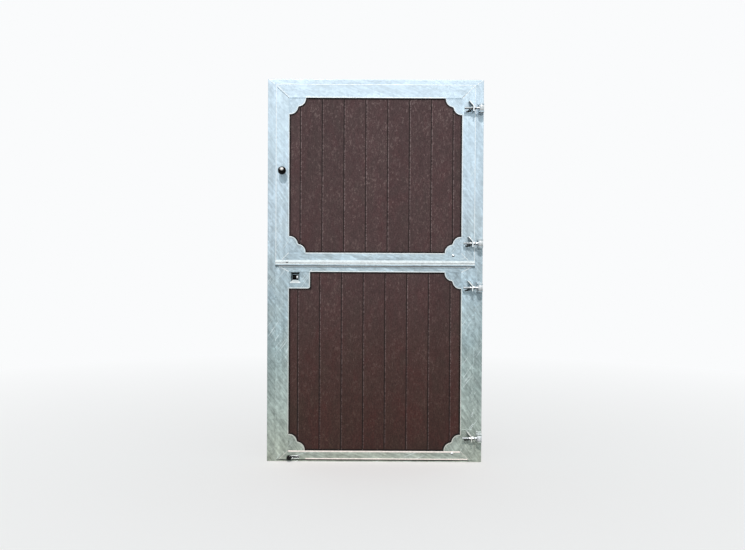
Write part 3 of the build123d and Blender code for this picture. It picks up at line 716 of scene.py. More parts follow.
def plank_levels(bottom, top, leaf, pockets):
    """Levels up a plank: 8 mm apart, 3.5 mm at the corner plates, 2 mm at the rails' edges."""
    panel_bottom, panel_top = leaf_levels[leaf]
    levels = [np.linspace(bottom, top, int((top - bottom) / 0.008))]
    for edge, inward in ((panel_bottom, 1), (panel_top, -1)):
        levels.append(edge + inward * np.arange(0.014, 0.112, 0.0035))
        levels.append(edge + inward * np.arange(-0.002, 0.013, 0.002))
    for _, start, end, _ in pockets:
        levels.append(np.array([start - 0.0002, start + 0.0002, end - 0.0002, end + 0.0002]))
    levels = np.unique(np.round(np.concatenate(levels), 5))
    return levels[(levels >= bottom) & (levels <= top)]


def make_board(leaf, number):
    """One plank: section x level, y + relief, and no further forward than a pocket's floor."""
    node = f"{leaf}_plank_{number}"
    last = number == plank_count
    left = low(node, 0)
    right = high(node, 0) - (0 if last else tongue_reach)
    pockets = bolt_pockets if leaf == "lower" and number < 3 else []
    x, y, relief, painted_highlight, joint = plank_section(left, right, tongue=not last, groove=number > 1)
    x, z = np.meshgrid(x, plank_levels(low(node, 2), high(node, 2), leaf, pockets))
    seed = 10 * number + (0 if leaf == "upper" else 500)
    hollow = 0.0004 * (1 - ((2 * x - left - right) / (right - left)) ** 2)
    y = y + relief * (grain_relief(x, z, seed) + np.clip(hollow, 0, None))
    for pocket_right, start, end, floor in pockets:
        inside = (z > start) & (z < end) & (x < pocket_right)
        y = np.where(inside, np.maximum(y, floor), y)
    board = [skin(np.stack([x, y, z], axis=-1))]
    piece = make_piece(f"{leaf}_board_{number}", board, plank_brown, f"{leaf}_leaf", [node])
    # Painted shade along the steel's edges, where the flanges and plates throw a shadow on the planks.
    edge_darkening = 0.97 * np.clip(2.1 - steel_distance(x, z, leaf) / 0.006, 0, 1) * (y < plank_back)
    uneven = 0.75 + 0.25 * value_noise(x, z, 0.02, 0.05, seed + 3)
    joint_dirt_and_shade = np.maximum(joint + 0 * z, edge_darkening * uneven)
    tone = np.full(x.size, np.random.default_rng(seed).random())
    for name, values in (("joint_dirt_and_shade", joint_dirt_and_shade), ("arris", painted_highlight + 0 * z), ("board", tone)):
        piece.data.attributes.new(name, "FLOAT", "POINT").data.foreach_set("value", values.ravel())


for leaf_name in leaf_levels:
    for plank_number in range(1, plank_count + 1):
        make_board(leaf_name, plank_number)

# %% [markdown]
# # Turned and threaded fittings
#
# The round knob of the upper latch is a ball on a neck with a thin rose against the steel.
# The knob of the foot bolt is the same without the rose.

# %% Knobs


def ball_profile(centre, radius, neck):
    """Profile of a ball about a place on the axis: centre - radius cos t, radius sin t, from
    where it meets a neck to the pole."""
    t = np.linspace(math.asin(neck / radius), math.pi - 0.004, 40)
    return [(centre - radius * math.cos(angle), radius * math.sin(angle)) for angle in t]


def make_knob(name, node, foot, neck, around, finish, body):
    """The foot's profile, then the neck and the ball, in place of a CAD knob and as large."""
    radius = (high(node, 0) - low(node, 0)) / 2
    seat = high(node, 1)
    profile = foot + ball_profile(seat - low(node, 1) - radius, radius, neck)
    ball = turned((middle(node, 0), seat, middle(node, 2)), outwards, profile, around)
    make_piece(name, [ball], finish, body, [node])


rose = [(0, 0.0001), (0, 0.0148), (0.0004, 0.015), (0.0024, 0.015), (0.003, 0.0143), (0.003, 0.0092)]
stem = [(0, 0.0001), (0, 0.0043), (0.0003, 0.0045)]
make_knob("latch_ball_knob", "latch_knob", rose, 0.009, 56, lacquer, "upper_latch")
make_knob("foot_ball_knob", "foot_bolt_knob", stem, 0.0045, 48, grease_and_shade, "foot_bolt")

# %% [markdown]
# ## Hinge pins
#
# Each pin stands in the two ears of its fork: a flat head on top, a plain shaft, and a
# bevelled tail that finds its hole. The four are one piece, as they are one CAD node.

# %% Hinge pins

hinge_x = middle("hinge_pins", 0)
hinge_y = middle("hinge_pins", 1)
pin_up = high("hinge_pins", 2) - hinge_levels[0]
pin_down = hinge_levels[-1] - low("hinge_pins", 2)
pin_profile = [
    (-pin_down, 0.0001),
    (-pin_down, 0.0056),
    (-pin_down + 0.0014, 0.007),
    (pin_up - 0.005, 0.007),
    (pin_up - 0.005, 0.0106),
    (pin_up - 0.0046, 0.011),
    (pin_up - 0.0012, 0.011),
    (pin_up, 0.0092),
    (pin_up, 0.0001),
]
pins = [turned((hinge_x, hinge_y, level), (0, 0, 1), pin_profile, 32) for level in hinge_levels]
make_piece("hinge_pin_set", pins, zinc, "frame", ["hinge_pins"])

# %% [markdown]
# ## Eye bolts with a real thread
#
# The eye of each bolt is a ring, a small profile turned about the pin. Its shank carries an
# M14 thread, whose radius depends on the turn about the axis and the way along it: it rises
# and falls once each pitch, and moves along by one pitch in each turn, as a helix does.

# %% Eye bolts

eye_half = 0.0182
eye_radius = 0.016
eye_bore = 0.00725
eye_soft = 0.0012
thread_crest = 0.007
thread_root = 0.0062
thread_pitch = 0.002
thread_start = 0.027
thread_end = hinge_x - low("upper_hinge_eye_bolts", 0)


def threaded(base, direction):
    """A threaded rod: radius root + (crest - root) w, where w goes evenly from 0 to 1 and back
    once each pitch along the axis, shifted by one pitch a turn. A cone bevels its end."""
    s = np.arange(thread_start, thread_end, thread_pitch / 6)[:, None]
    t = circle(24)[None, :]
    phase = (s / thread_pitch - t / (2 * math.pi)) % 1
    w = 1 - np.abs(2 * phase - 1)
    radius = thread_root + (thread_crest - thread_root) * w
    cone = thread_root - 0.0004 + (thread_end - s)
    return skin(about(base, direction, s, np.minimum(radius, cone), t))


def eye_bolt(level):
    """The ring, the plain neck that grows out of it, and the threaded shank."""
    half = [
        (eye_half - eye_soft, eye_radius),
        (eye_half - eye_soft / 3, eye_radius - eye_soft / 3),
        (eye_half, eye_radius - eye_soft),
        (eye_half, eye_bore),
    ]
    ring = [(-s, radius) for s, radius in half[::-1]] + half
    neck = [(0.010, 0.0001), (0.010, 0.0086), (0.0165, 0.0086)]
    neck += [(0.020, 0.007), (0.0275, 0.007), (0.0275, 0.0001)]
    centre = (hinge_x, hinge_y, level)
    back = (-1, 0, 0)
    eye = turned(centre, (0, 0, 1), ring, 48, closed=True)
    return [eye, turned(centre, back, neck, 28), threaded(centre, back)]


# %% [markdown]
# A hexagon nut is turned with a changing radius, the hexagon's at each angle, cut down at
# both ends by a cone. That gives the round bevel that a real nut has.

# %% Nuts

nut_apothem = 0.0105
nut_length = 0.011
nut_starts = (low("upper_hinge_nuts", 0), high("upper_hinge_nuts", 0) - nut_length)


def nut(level, start):
    """A nut along X: radius min(apothem / cos(angle to the nearest flat), cone), and a bore."""
    t = circle(48)
    hexagon = nut_apothem / np.cos(t % (math.pi / 3) - math.pi / 6)
    corner = hexagon.max()
    end = nut_apothem * 0.97
    bevel = 0.0011
    outside = [(0.0, end), (bevel, corner), (nut_length - bevel, corner), (nut_length, end)]
    inside = [(nut_length, 0.0079), (nut_length - 0.0008, 0.0071), (0.0008, 0.0071), (0.0, 0.0079)]
    rings = [(s, np.minimum(hexagon, limit)) for s, limit in outside]
    rings += [(s, np.full(len(t), radius)) for s, radius in inside]
    grid = []
    for s, radius in rings:
        x = np.full(len(t), start + s)
        grid.append(np.stack([x, hinge_y + radius * np.cos(t), level + radius * np.sin(t)], axis=-1))
    return skin(grid, closed=True)


# %% [markdown]
# ## Button bolts
#
# One corner plate of each leaf and the drip strip are held by bolts with a low domed head. The
# dome is a cap of a sphere: with a head of radius a and height h, the sphere's radius is
# (a a + h h) / 2 h.

# %% Button bolts, and the fittings of both leaves

head_radius = 0.009
head_height = 0.005
strip_front = low("drip_strip", 1)
strip_foot = low("drip_strip", 2)
strip_bolt_x = -0.547


def button_bolt(x, seat, z, grip):
    """A dome in front of the seat, a flat underside, and a shank as long as the grip."""
    sphere = (head_radius**2 + head_height**2) / (2 * head_height)
    t = np.linspace(0.02, math.asin(head_radius / sphere), 12)
    dome = [(-head_height + sphere * (1 - math.cos(angle)), sphere * math.sin(angle)) for angle in t]
    shank = [(0.0, 0.004), (grip, 0.004), (grip, 0.0001)]
    return turned((x, seat, z), (0, 1, 0), dome + shank, 32)


def button_bolts(leaf):
    """The bolts of a leaf: one in a corner plate and, on the upper leaf, one in the strip."""
    bolts = [button_bolt(panel_half - 0.050, leaf_front, leaf_levels[leaf][0] - 0.014, 0.008)]
    if leaf == "upper":
        bolts.append(button_bolt(strip_bolt_x, strip_front, strip_foot + 0.025, plate_front - strip_front))
    return bolts


def make_fitting(leaf, name, skins, node, crease=35):
    """A fitting of a leaf in bright zinc, in place of a CAD node."""
    make_piece(f"{leaf}_{name}", skins, zinc, f"{leaf}_leaf", [f"{leaf}_{node}"], crease)


for leaf_name, levels in leaf_hinges.items():
    eyes = [part for level in levels for part in eye_bolt(level)]
    nuts = [nut(level, start) for level in levels for start in nut_starts]
    make_fitting(leaf_name, "eye_bolts", eyes, "hinge_eye_bolts")
    make_fitting(leaf_name, "hexagon_nuts", nuts, "hinge_nuts", 28)
for leaf_name in leaf_hinges:
    make_fitting(leaf_name, "button_heads", button_bolts(leaf_name), "button_bolts")

# %% [markdown]
# # Edges and welds
#
# Along every edge of the leaf frames the zinc stands a little proud, and these lines are
# painted pale, a painted highlight that makes them the brightest lines of the door. An edge is a
# very flat half ellipse, 5.5 mm wide, just inside the steel's edge. A seam's form is its width,
# height, ripple and ripple pitch.

# %% Pale edges of the leaves, a painted highlight

edge_width = 0.0055
drip_form = (edge_width, 0.0007, 0.25, 0.031)
corner_reach = lobe_waist + math.sqrt(lobe_radius**2 - lobe_step**2)
plate_corners = {
    "upper": [(False, False), (True, False), (False, True), (True, True)],
    "lower": [(False, False), (True, False), (True, True)],
}


def straight(y, ends, form, step=0.004):
    """Seams of one form at a depth Y, each straight between two places given by X and Z."""
    return [seam(line((x, y, z), (end_x, y, end_z), step), *form) for (x, z), (end_x, end_z) in ends]


def panel_edges(leaf):
    """Straight edges round the panel, on the front flanges, between the plates at its corners."""
    bottom, top = leaf_levels[leaf]
    below = bottom - edge_width / 2
    above = top + edge_width / 2
    side = panel_half + edge_width / 2
    near = panel_half - corner_reach
    corner, drop = (-near, top - corner_reach) if leaf == "upper" else (lock_right, lock_foot)
    ends = [
        ((-side, bottom + corner_reach), (-side, drop)),
        ((side, bottom + corner_reach), (side, top - corner_reach)),
        ((corner, above), (near, above)),
    ]
    if leaf == "upper":
        ends.append(((-near, below), (near, below)))
    return straight(leaf_front, ends, drip_form)


def lobe_edge(leaf, on_right, at_top):
    """The edge of a corner plate, in three arcs seen from the panel's corner: middle + radius
    (cos t, sin t). The hollow's arc turns the other way, and the second lobe mirrors the first."""
    bottom, top = leaf_levels[leaf]
    radius = lobe_radius - edge_width / 2
    meet = math.atan2(hollow_place - lobe_step, hollow_place - lobe_waist)
    t = np.linspace(-math.asin(lobe_step / radius), meet, 30)
    first = np.stack([lobe_waist + radius * np.cos(t), lobe_step + radius * np.sin(t)], axis=-1)
    t = np.linspace(math.pi + meet, 1.5 * math.pi - meet, 14)[1:-1]
    bend = hollow_radius + edge_width / 2
    hollow = hollow_place + bend * np.stack([np.cos(t), np.sin(t)], axis=-1)
    across, up = np.concatenate([first, hollow, first[::-1, ::-1]]).T
    x = (panel_half - across) if on_right else (across - panel_half)
    z = (top - up) if at_top else (bottom + up)
    return seam(flat_path(x, plate_front, z), *drip_form)


def lock_plate_edge():
    """The lock plate's right and lower edges, joined by a quarter circle."""
    radius = 0.014 - edge_width / 2
    right = lock_right - edge_width / 2
    bottom = lock_foot + edge_width / 2
    t = np.linspace(0, -math.pi / 2, 12)
    bend = flat_path(right - radius + radius * np.cos(t), plate_front, bottom + radius + radius * np.sin(t))
    down = line((right, plate_front, lower_top), (right, plate_front, bottom + radius + 0.002))
    along = line((right - radius - 0.002, plate_front, bottom), (-panel_half, plate_front, bottom))
    return seam(np.concatenate([down, bend, along]), *drip_form)


for leaf_name, corners in plate_corners.items():
    edges = panel_edges(leaf_name) + [lobe_edge(leaf_name, *corner) for corner in corners]
    if leaf_name == "lower":
        edges.append(lock_plate_edge())
    make_piece(f"{leaf_name}_edge_highlights", edges, edge_highlight, f"{leaf_name}_leaf")

# %% [markdown]
# ## Welds, and what ran from the hinges
#
# The mitres of the frame and the leaves were welded and ground nearly flat before the steel
# was dipped, which leaves a low, rippled line across each corner. The welds of the hinge
# forks and brackets, which nobody grinds, are the same seam with more height.
#
# At the top corners the mitre is open by a hair, and a dark line beside the weld is a painted
# shade for that slit. Each bracket has pale painted highlights along its front edges, and a dark
# painted shade lies on its base below the shank.

# %% Welds

opening_half = 0.6
lip_half = 0.6294
fork_half = 0.016
fork_rise = 0.032
ear_rise = 0.0245
fork_front = frame_front - 0.006
bracket_base = leaf_front - 0.006
bracket_front = low("upper_hinge_bracket_1", 1)
bracket_x = high("upper_hinge_bracket_1", 0) - 0.011
bracket_bend = 0.0125
weld_end = 0.003
weld_ripple = 0.3
weld_pitch = 0.003
weld_step = 0.0006
slit_form = (0.0019, 0.0003)
lip_form = (0.0042, 0.0005, 0.3, 0.09)
upright_form = (0.0072, 0.0010)
rib_form = (0.0076, 0.0010)


def weld(y, ends, width, height):
    """Straight rippled seams at a depth Y."""
    return straight(y, ends, (width, height, weld_ripple, weld_pitch), weld_step)


def head_mitres():
    """The mitres of the frame's head, where the leaf's lip leaves them free."""
    opening_top = low("head", 2)
    rise = (frame_height - opening_top) / (frame_half - opening_half)
    start = opening_top + rise * (lip_half - opening_half)
    end = frame_height - 0.004 * rise
    ends = [((side * lip_half, start), (side * (frame_half - 0.004), end)) for side in (-1, 1)]
    return weld(frame_front, ends, 0.004, 0.0006)


def fork_welds(level):
    """The welds round the base of a hinge fork, and under and over its two ears."""
    left, right = hinge_x - fork_half, hinge_x + fork_half
    foot, top = level - fork_rise, level + fork_rise
    base = [((left, foot), (left, top)), ((left, foot), (right, foot)), ((left, top), (right, top))]
    ears = [((left, ear), (right, ear)) for ear in (level - ear_rise, level + ear_rise)]
    return weld(frame_front, base, 0.007, 0.0032) + weld(fork_front, ears, 0.006, 0.0026)


def leaf_mitres(leaf):
    """The welds across the corners of a leaf's front flanges, and on the lower leaf one beside
    the lock plate. The drip strip hides the lower ends of the upper leaf's."""
    bottom, top = leaf_levels[leaf]
    head = high(f"{leaf}_top_rail", 2) - weld_end
    head_end = high(f"{leaf}_top_rail", 0) - weld_end
    foot = low(f"{leaf}_bottom_rail", 2) + weld_end
    foot_end = high(f"{leaf}_bottom_rail", 0) - weld_end
    if leaf == "upper":
        foot = high("drip_strip", 2) + 0.002
        foot_end = panel_half + bottom - foot
    ends = [((side * panel_half, top), (side * head_end, head)) for side in (-1, 1)]
    ends += [((side * panel_half, bottom), (side * foot_end, foot)) for side in (-1, 1)]
    mitres = weld(leaf_front, ends, 0.004, 0.0007)
    if leaf == "lower":
        mitres += weld(leaf_front, [((lock_right, top), (lock_right + 0.012, top + 0.014))], 0.005, 0.001)
    return mitres


def mitre_shade_slits():
    """Painted shade: dark lines beside the welds at the upper leaf's head, for the slits there."""
    top = leaf_levels["upper"][1]
    slit_x = high("upper_top_rail", 0) - 0.012
    slit_z = high("upper_top_rail", 2) - 0.020
    ends = []
    for side in (-1, 1):
        rise = 0.003 * side
        ends.append(((side * panel_half - 0.0026, top + rise), (side * slit_x - 0.0026, slit_z + rise)))
    return straight(leaf_front, ends, slit_form)


def lip_edges(leaf):
    """The raised rim of a leaf's lip, up both sides, and along the head of the upper leaf."""
    foot = low(f"{leaf}_left_stile", 2) + weld_end
    head = high(f"{leaf}_left_stile", 2) - weld_end
    reach = high(f"{leaf}_right_stile", 0) - 0.0032
    ends = [((-reach, foot), (-reach, head)), ((reach, foot), (reach, head))]
    if leaf == "upper":
        ends.append(((-reach, head), (reach, head)))
    return straight(leaf_front, ends, lip_form, 0.006)


def bracket_welds(levels):
    """Two fuller seams where the upright of each hinge bracket stands on its base."""
    sides = [bracket_x - 0.003, bracket_x + 0.003]
    ends = [((x, level - 0.022), (x, level + bracket_bend)) for level in levels for x in sides]
    return weld(bracket_base, ends, 0.006, 0.003)


def bracket_highlights(levels):
    """A pale painted highlight on the front edge of each bracket, up its upright and along its rib."""
    uprights = [((bracket_x, level - 0.021), (bracket_x, level + bracket_bend)) for level in levels]
    ribs = [((bracket_x, level + bracket_bend), (bracket_x - 0.0255, level + 0.042)) for level in levels]
    edges = straight(bracket_front, uprights, upright_form, 0.001)
    return edges + straight(bracket_front, ribs, rib_form, 0.001)


def shade_patch(x, z, across, up, seed):
    """A thin dark patch on a bracket's base, a painted shade. Its rim is an ellipse times
    1 + 0.14 sin(2t + a) + 0.09 sin(5t + b), with the two phases from random numbers."""
    phases = np.random.default_rng(seed).uniform(0, 2 * math.pi, 2)
    t = circle(48)
    reach = 1 + 0.14 * np.sin(2 * t + phases[0]) + 0.09 * np.sin(5 * t + phases[1])
    x = x + across * reach * np.cos(t)
    z = z + up * reach * np.sin(t)
    return skin([flat_path(x, bracket_base, z), flat_path(x, bracket_base - 0.0003, z)])


def bracket_painted_shade(levels):
    """Painted shade on each bracket's base, below the shank."""
    patches = []
    for number, level in enumerate(levels):
        patches.append(shade_patch(bracket_x - 0.0200, level - 0.0120, 0.0128, 0.0080, 5 + number))
        patches.append(shade_patch(bracket_x - 0.0330, level - 0.0170, 0.0100, 0.0060, 25 + number))
        patches.append(shade_patch(bracket_x + 0.0068, level - 0.0130, 0.0026, 0.0075, 15 + number))
    return patches


# The head's mitre welds take the pale edge finish, a painted highlight.
make_piece("head_mitres", head_mitres(), edge_highlight, "frame")
# Near black lines, a painted shade in the open mitres.
make_piece("mitre_shade_slits", mitre_shade_slits(), grease_and_shade, "upper_leaf")
all_fork_welds = [part for level in hinge_levels for part in fork_welds(level)]
make_piece("fork_welds", all_fork_welds, lit_fitting_steel, "frame")
for leaf_name, levels in leaf_hinges.items():
    body_name = f"{leaf_name}_leaf"
    # The upper leaf's lip rim is painted pale as a highlight; the lower one keeps the rail's steel.
    lip_finish = edge_highlight if leaf_name == "upper" else level_steel
    # The leaves' mitre welds take the pale edge finish, a painted highlight.
    make_piece(f"{leaf_name}_mitres", leaf_mitres(leaf_name), edge_highlight, body_name)
    make_piece(f"{leaf_name}_lip_edges", lip_edges(leaf_name), lip_finish, body_name)
    make_piece(f"{leaf_name}_bracket_welds", bracket_welds(levels), lit_fitting_steel, body_name)
    # Dark patches below each shank, a painted shade.
    make_piece(f"{leaf_name}_bracket_painted_shade", bracket_painted_shade(levels), shade_dark_steel, body_name)
    # Pale seams on each bracket's front edges, a painted highlight.
    make_piece(f"{leaf_name}_bracket_highlights", bracket_highlights(levels), band_highlight, body_name)

# %% [markdown]
# ## The drip strip and the foot
#
# The slope of the drip strip and a bead on its face are painted pale as a highlight, and a dark
# fold at its foot and a dark groove across its face are a painted shade. The lower leaf's foot
# has two pale edges, a painted highlight, the slot of the foot bolt a pale rim, and a dark brown
# sheet is a painted shade on the sill.

# %% The drip strip and the foot

strip_top = high("drip_strip", 2)
strip_half = high("drip_strip", 0)
strip_bend = strip_top - 0.008
coat = 0.0003
coat_front = strip_front - coat
fold_back = strip_front + 0.0024
fold_foot = strip_foot - 0.0034
fold_top = strip_foot + 0.0018
groove_foot = strip_bend - 0.0122
groove_top = strip_bend - 0.0085
bead_form = (0.0075, 0.0007, 0.2, 0.037)
foot_form = (0.009, 0.0012, 0.2, 0.031)
rail_form = (0.0065, 0.0010, 0.3, 0.043)
shade_sheet_half = 0.560
shade_sheet_thick = 0.0004


def along_strip(section):
    """A skin whose section, points in Y and Z, is repeated along the drip strip."""
    rings = np.empty((200, len(section), 3))
    rings[:, :, 0] = np.linspace(-strip_half, strip_half, 200)[:, None]
    rings[:, :, 1:] = section
    return skin(rings)


def slot_rim():
    """A closed seam round the slot: two half circles about its ends, joined by straight runs."""
    half = 0.0055 + pocket_play
    left = middle("foot_bolt_knob", 0) - pocket_play
    right = left + foot_travel + 2 * pocket_play
    t = np.linspace(-math.pi / 2, math.pi / 2, 14)
    x = np.concatenate([right + half * np.cos(t), left - half * np.cos(t)])
    z = middle("foot_bolt_knob", 2) + half * np.concatenate([np.sin(t), -np.sin(t)])
    return seam(flat_path(x, leaf_front, z), 0.003, 0.0012, closed=True)


def sill_shade_sheet():
    """A ragged dark brown sheet on the sill, a painted shade. Its depth and its front rim follow
    value noise, and it narrows towards both ends."""
    x = np.linspace(-shade_sheet_half, shade_sheet_half, 400)
    deep = 0.030 + 0.014 * value_noise(x, 0 * x, 0.03, 1.0, 41)
    deep += 0.004 * value_noise(x, 0 * x, 0.006, 1.0, 43)
    taper = np.clip((shade_sheet_half - np.abs(x)) / 0.12, 0.05, 1)
    near = low("sill", 1) + 0.0006 + 0.003 * value_noise(x, 0 * x, 0.011, 1.0, 42)
    rings = np.empty((len(x), 4, 3))
    rings[:, :, 0] = x[:, None]
    rings[:, :2, 1] = near[:, None]
    rings[:, 2:, 1] = (near + deep * taper)[:, None]
    rings[:, :, 2] = high("sill", 2) + np.array([0, shade_sheet_thick, shade_sheet_thick, 0])
    return skin(rings)


shoulder = [
    (leaf_front - 0.0002, strip_top),
    (leaf_front - 0.0002, strip_top + coat),
    (strip_front, strip_bend + coat),
    (coat_front, strip_bend),
    (coat_front, strip_bend - 0.008),
    (strip_front, strip_bend - 0.008),
    (strip_front, strip_bend),
]
fold = [
    (coat_front, fold_top),
    (coat_front, fold_foot),
    (fold_back, fold_foot),
    (fold_back, strip_foot + 0.0001),
    (strip_front, strip_foot + 0.0001),
    (strip_front, fold_top),
]
groove = [
    (strip_front - coat / 2, groove_top),
    (strip_front - coat / 2, groove_foot),
    (strip_front, groove_foot),
    (strip_front, groove_top),
]
bead_level = strip_foot + 0.0125
bead_run = ((-strip_half, bead_level), (strip_half, bead_level))
bead = straight(strip_front, [bead_run], bead_form)
# Pale bands, a painted highlight: the strip's sloping shoulder and the bead on its face.
make_piece("strip_shoulder", [along_strip(shoulder)], band_highlight, "upper_leaf")
make_piece("strip_bead", bead, edge_highlight, "upper_leaf")
# A near black fold and groove, a painted shade at the strip's foot and across its face.
make_piece("strip_shade_fold", [along_strip(fold), along_strip(groove)], grease_and_shade, "upper_leaf")

foot_level = leaf_levels["lower"][0] - 0.0045
rail_foot = low("lower_bottom_rail", 2) + 0.004
rail_end = high("lower_bottom_rail", 0) - 0.012
foot_run = ((-panel_half, foot_level), (panel_half, foot_level))
rail_run = ((-0.43, rail_foot), (rail_end, rail_foot))
foot_highlights = straight(leaf_front, [foot_run], foot_form) + straight(leaf_front, [rail_run], rail_form)
# The lower leaf's foot edges are painted pale, a painted highlight.
make_piece("lower_foot_highlights", foot_highlights, warm_highlight, "lower_leaf")
# A dark brown sheet on the sill, a painted shade under the lower leaf.
make_piece("sill_shade_sheet", [sill_shade_sheet()], sill_shade_brown, "frame")
make_piece("slot_rim", [slot_rim()], zinc, "lower_leaf")

# %% [markdown]
# ## The flush bolt
#
# The flush bolt's rod is near black, a painted shade for the recess it lies in, and its lug is
# bright zinc. So the lug gets a thin skin: rings of a rounded square that shrink towards the
# front. In the finger recess round it the lower slope is painted pale as a highlight, and the
# upper and the left one are painted dark as shade.

# %% The lug of the flush bolt and its recess

recess_x = lock_right - 0.131 + 0.039
recess_z = lower_top - 0.034
recess_depth = 0.016
rim_half_x = 0.0296
rim_half_z = 0.031
lug_forms = [
    (0.010, 0.0052, 0.0092),
    (0.002, 0.0052, 0.0092),
    (0.0006, 0.0047, 0.0087),
    (-0.0002, 0.0034, 0.0074),
]


def lug_skin():
    """Rings about the lug: X and Z on a superellipse, |x / a|^6 + |z / b|^6 = 1, with the depth
    in Y, a and b from the lug's forms."""
    t = circle(40)
    swell = (np.abs(np.cos(t)) ** 6 + np.abs(np.sin(t)) ** 6) ** (-1 / 6)
    rings = []
    for depth, half_x, half_z in lug_forms:
        x = recess_x + 0.012 + half_x * swell * np.cos(t)
        z = lock_level + half_z * swell * np.sin(t)
        rings.append(flat_path(x, low("lock_bolt", 1) + depth, z))
    return skin(rings)


def slope_skin(towards_x, towards_z, near, deep):
    """A coat on one slope of the finger recess, the one that lies towards the direction given.
    The recess's half width and half height go evenly from its rim to its floor."""
    rings = []
    for t in np.linspace(near, deep, 12):
        half_x = rim_half_x - 0.011 * t
        half_z = rim_half_z - 0.012 * t
        ring = []
        for end, lift in ((-1, 0.0), (1, 0.0), (1, coat), (-1, coat)):
            x = recess_x + towards_x * (half_x - lift) + end * towards_z * half_x
            z = recess_z + towards_z * (half_z - lift) + end * towards_x * half_z
            ring.append((x, plate_front + recess_depth * t - lift, z))
        rings.append(ring)
    return skin(rings)


rim_level = recess_z - 0.0335
rim_run = ((recess_x - 0.033, rim_level), (recess_x + 0.033, rim_level))
rim_form = (0.0058, 0.0007, 0.2, 0.017)
recess_highlight = straight(plate_front, [rim_run], rim_form, 0.002)
recess_highlight.append(slope_skin(0, -1, 0.04, 0.96))
recess_shade = [slope_skin(0, 1, 0.1, 0.96), slope_skin(-1, 0, 0.5, 0.96)]
make_piece("lock_lug_skin", [lug_skin()], zinc, "lock_bolt")
# Painted highlight on the recess's lower slope and rim, painted shade on its upper and left slopes.
make_piece("recess_highlight", recess_highlight, band_highlight, "lower_leaf")
make_piece("recess_shade", recess_shade, grease_and_shade, "lower_leaf")

# %% [markdown]
# # Finishes for the CAD pieces that stay
#
# Every other CAD node keeps its shape. The first word below that is part of its name gives
# its finish, and a node that no word names gets bright zinc.

# %% Finish the CAD pieces

finish_by_word = {
    # The flush bolt's rod is near black, a painted shade for the recess it runs in.
    "lock_bolt": grease_and_shade,
    "foot_bolt_rod": grease_and_shade,
    "hinge_fork": lit_fitting_steel,
    "hinge_bracket": lit_fitting_steel,
    "jamb": jamb_steel,
    "rod_keepers": jamb_steel,
    "stile": upright_steel,
    "latch_keeper": upright_steel,
    "corner_plates": plate_steel,
    "lock_plate": lock_steel,
    "head": level_steel,
    "sill": level_steel,
    "rail": level_steel,
    "drip_strip": level_steel,
}
for node_name, node in nodes.items():
    if node.hide_render:
        continue
    finish = next((finish for word, finish in finish_by_word.items() if word in node_name), zinc)
    for place in node.material_slots:
        place.material = finish
    print(node_name, "->", finish.name)

# %% [markdown]
# # The stage
#
# The floor is a very large sheet, whose colour fades with the distance from the door into
# the background, so that no horizon cuts through the picture. The sky gives an even, soft
# light, in which a colour looks as it is written. The world's shader asks each ray what it is
# for, so that cameras and mirrors see a plain white background instead.

# %% Floor and background

backdrop = shade(250, 251, 252)
floor_reach = 60.0


def studio_floor():
    """A pale floor whose colour fades into the background up to 6 metres away."""
    finish = Finish("Studio floor", roughness=0.85)
    finish.wear(Base_Color=shade(248, 241, 239))
    reach = finish.add("ShaderNodeVectorMath", {0: finish.place}, operation="LENGTH").outputs["Value"]
    glow = finish.add("ShaderNodeEmission", {"Color": backdrop}).outputs[0]
    seen = finish.add("ShaderNodeLightPath").outputs["Is Camera Ray"]
    share = finish.times(finish.between(reach, 0.4, 6.0, 0.3, 1.0), seen)
    mixed = finish.add("ShaderNodeMixShader", {0: share, 1: finish.shader.outputs[0], 2: glow})
    connect(finish.tree, finish.output, {"Surface": mixed.outputs[0]})
    return finish.material


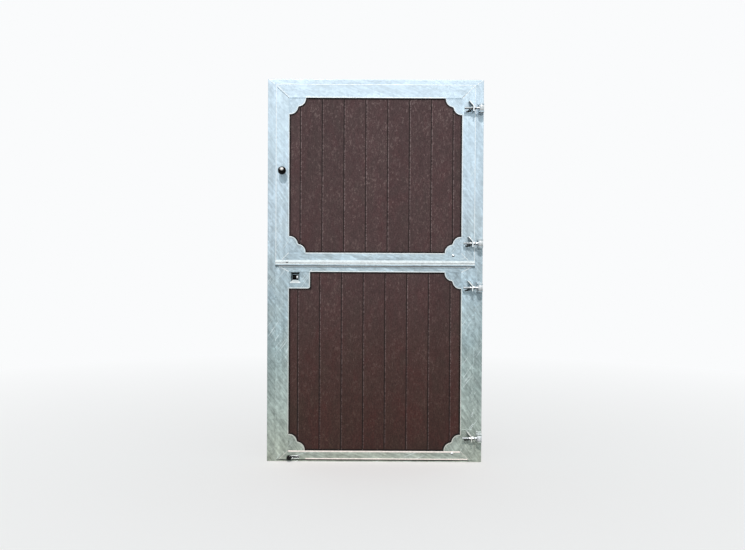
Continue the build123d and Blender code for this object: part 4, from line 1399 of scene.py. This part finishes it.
def soft_sky():
    """A world that lights with a pale blue sky, and shows a plain background to a camera, in a
    reflection and through glass."""
    world = bpy.data.worlds.new("Soft sky")
    world.use_nodes = True
    tree = world.node_tree
    tree.nodes.clear()
    sky = add_node(tree, "ShaderNodeBackground", {"Color": (0.62, 0.92, 1.0, 1.0), "Strength": 0.36})
    plain = add_node(tree, "ShaderNodeBackground", {"Color": backdrop})
    path = add_node(tree, "ShaderNodeLightPath", {}).outputs
    seen = path["Is Camera Ray"]
    for kind in ("Is Glossy Ray", "Is Transmission Ray"):
        seen = add_node(tree, "ShaderNodeMath", {0: seen, 1: path[kind]}, operation="MAXIMUM").outputs[0]
    mixed = add_node(tree, "ShaderNodeMixShader", {0: seen, 1: sky.outputs[0], 2: plain.outputs[0]})
    add_node(tree, "ShaderNodeOutputWorld", {"Surface": mixed.outputs[0]})
    return world


floor_mesh = bpy.data.meshes.new("floor")
floor_corners = [(x * floor_reach, y * floor_reach, 0.0) for x, y in ((-1, -1), (1, -1), (1, 1), (-1, 1))]
floor_mesh.from_pydata(floor_corners, [], [(0, 1, 2, 3)])
floor_mesh.materials.append(studio_floor())
floor = bpy.data.objects.new("floor", floor_mesh)
bpy.context.scene.collection.objects.link(floor)
bpy.context.scene.world = soft_sky()

# %% [markdown]
# ## The sun
#
# One sun from above, nearly from the front, casts a short shadow straight down from each
# fitting. Its angle is a little wider than the real sun's, which softens the shadow's rim.

# %% The sun

sun = bpy.data.lights.new("key", "SUN")
sun.energy = 2.3
sun.angle = math.radians(3.2)
sun.color = (1.0, 0.93, 0.90)
key = bpy.data.objects.new("key", sun)
bpy.context.scene.collection.objects.link(key)
shine = Vector((0.06, 0.75, -0.78))
key.rotation_euler = shine.to_track_quat("-Z", "Y").to_euler()
key.location = (-1.5, -4.0, 5.0)

# %% [markdown]
# ## The camera
#
# The photograph was taken from about five metres, at chest height, nearly from the middle,
# with the camera a third of a degree out of level. The picture is 745 by 550 pixels, and the
# lens gives the door the same size in it.

# %% Camera

picture_width = 745
lens_pixels = 803.8
lean = math.radians(0.31)
distance = 5.0
lens = bpy.data.cameras.new("camera")
lens.sensor_width = 36.0
lens.lens = lens_pixels / picture_width * lens.sensor_width
camera = bpy.data.objects.new("camera", lens)
bpy.context.scene.collection.objects.link(camera)
camera.location = (-0.0183, leaf_front - distance, 1.24)
aim = Vector((-0.0157, leaf_front, 1.1662))
level_view = (aim - camera.location).to_track_quat("-Z", "Y")
camera.rotation_euler = (level_view @ Quaternion((0, 0, 1), lean)).to_euler()
bpy.context.scene.camera = camera
bpy.context.scene.view_settings.view_transform = "Standard"
print("camera", tuple(camera.location), "lens", lens.lens)

# %% [markdown]
# ## Compare the sizes, and finish
#
# The last call brings the scene up to date.

# %% Finish

bpy.context.view_layer.update()
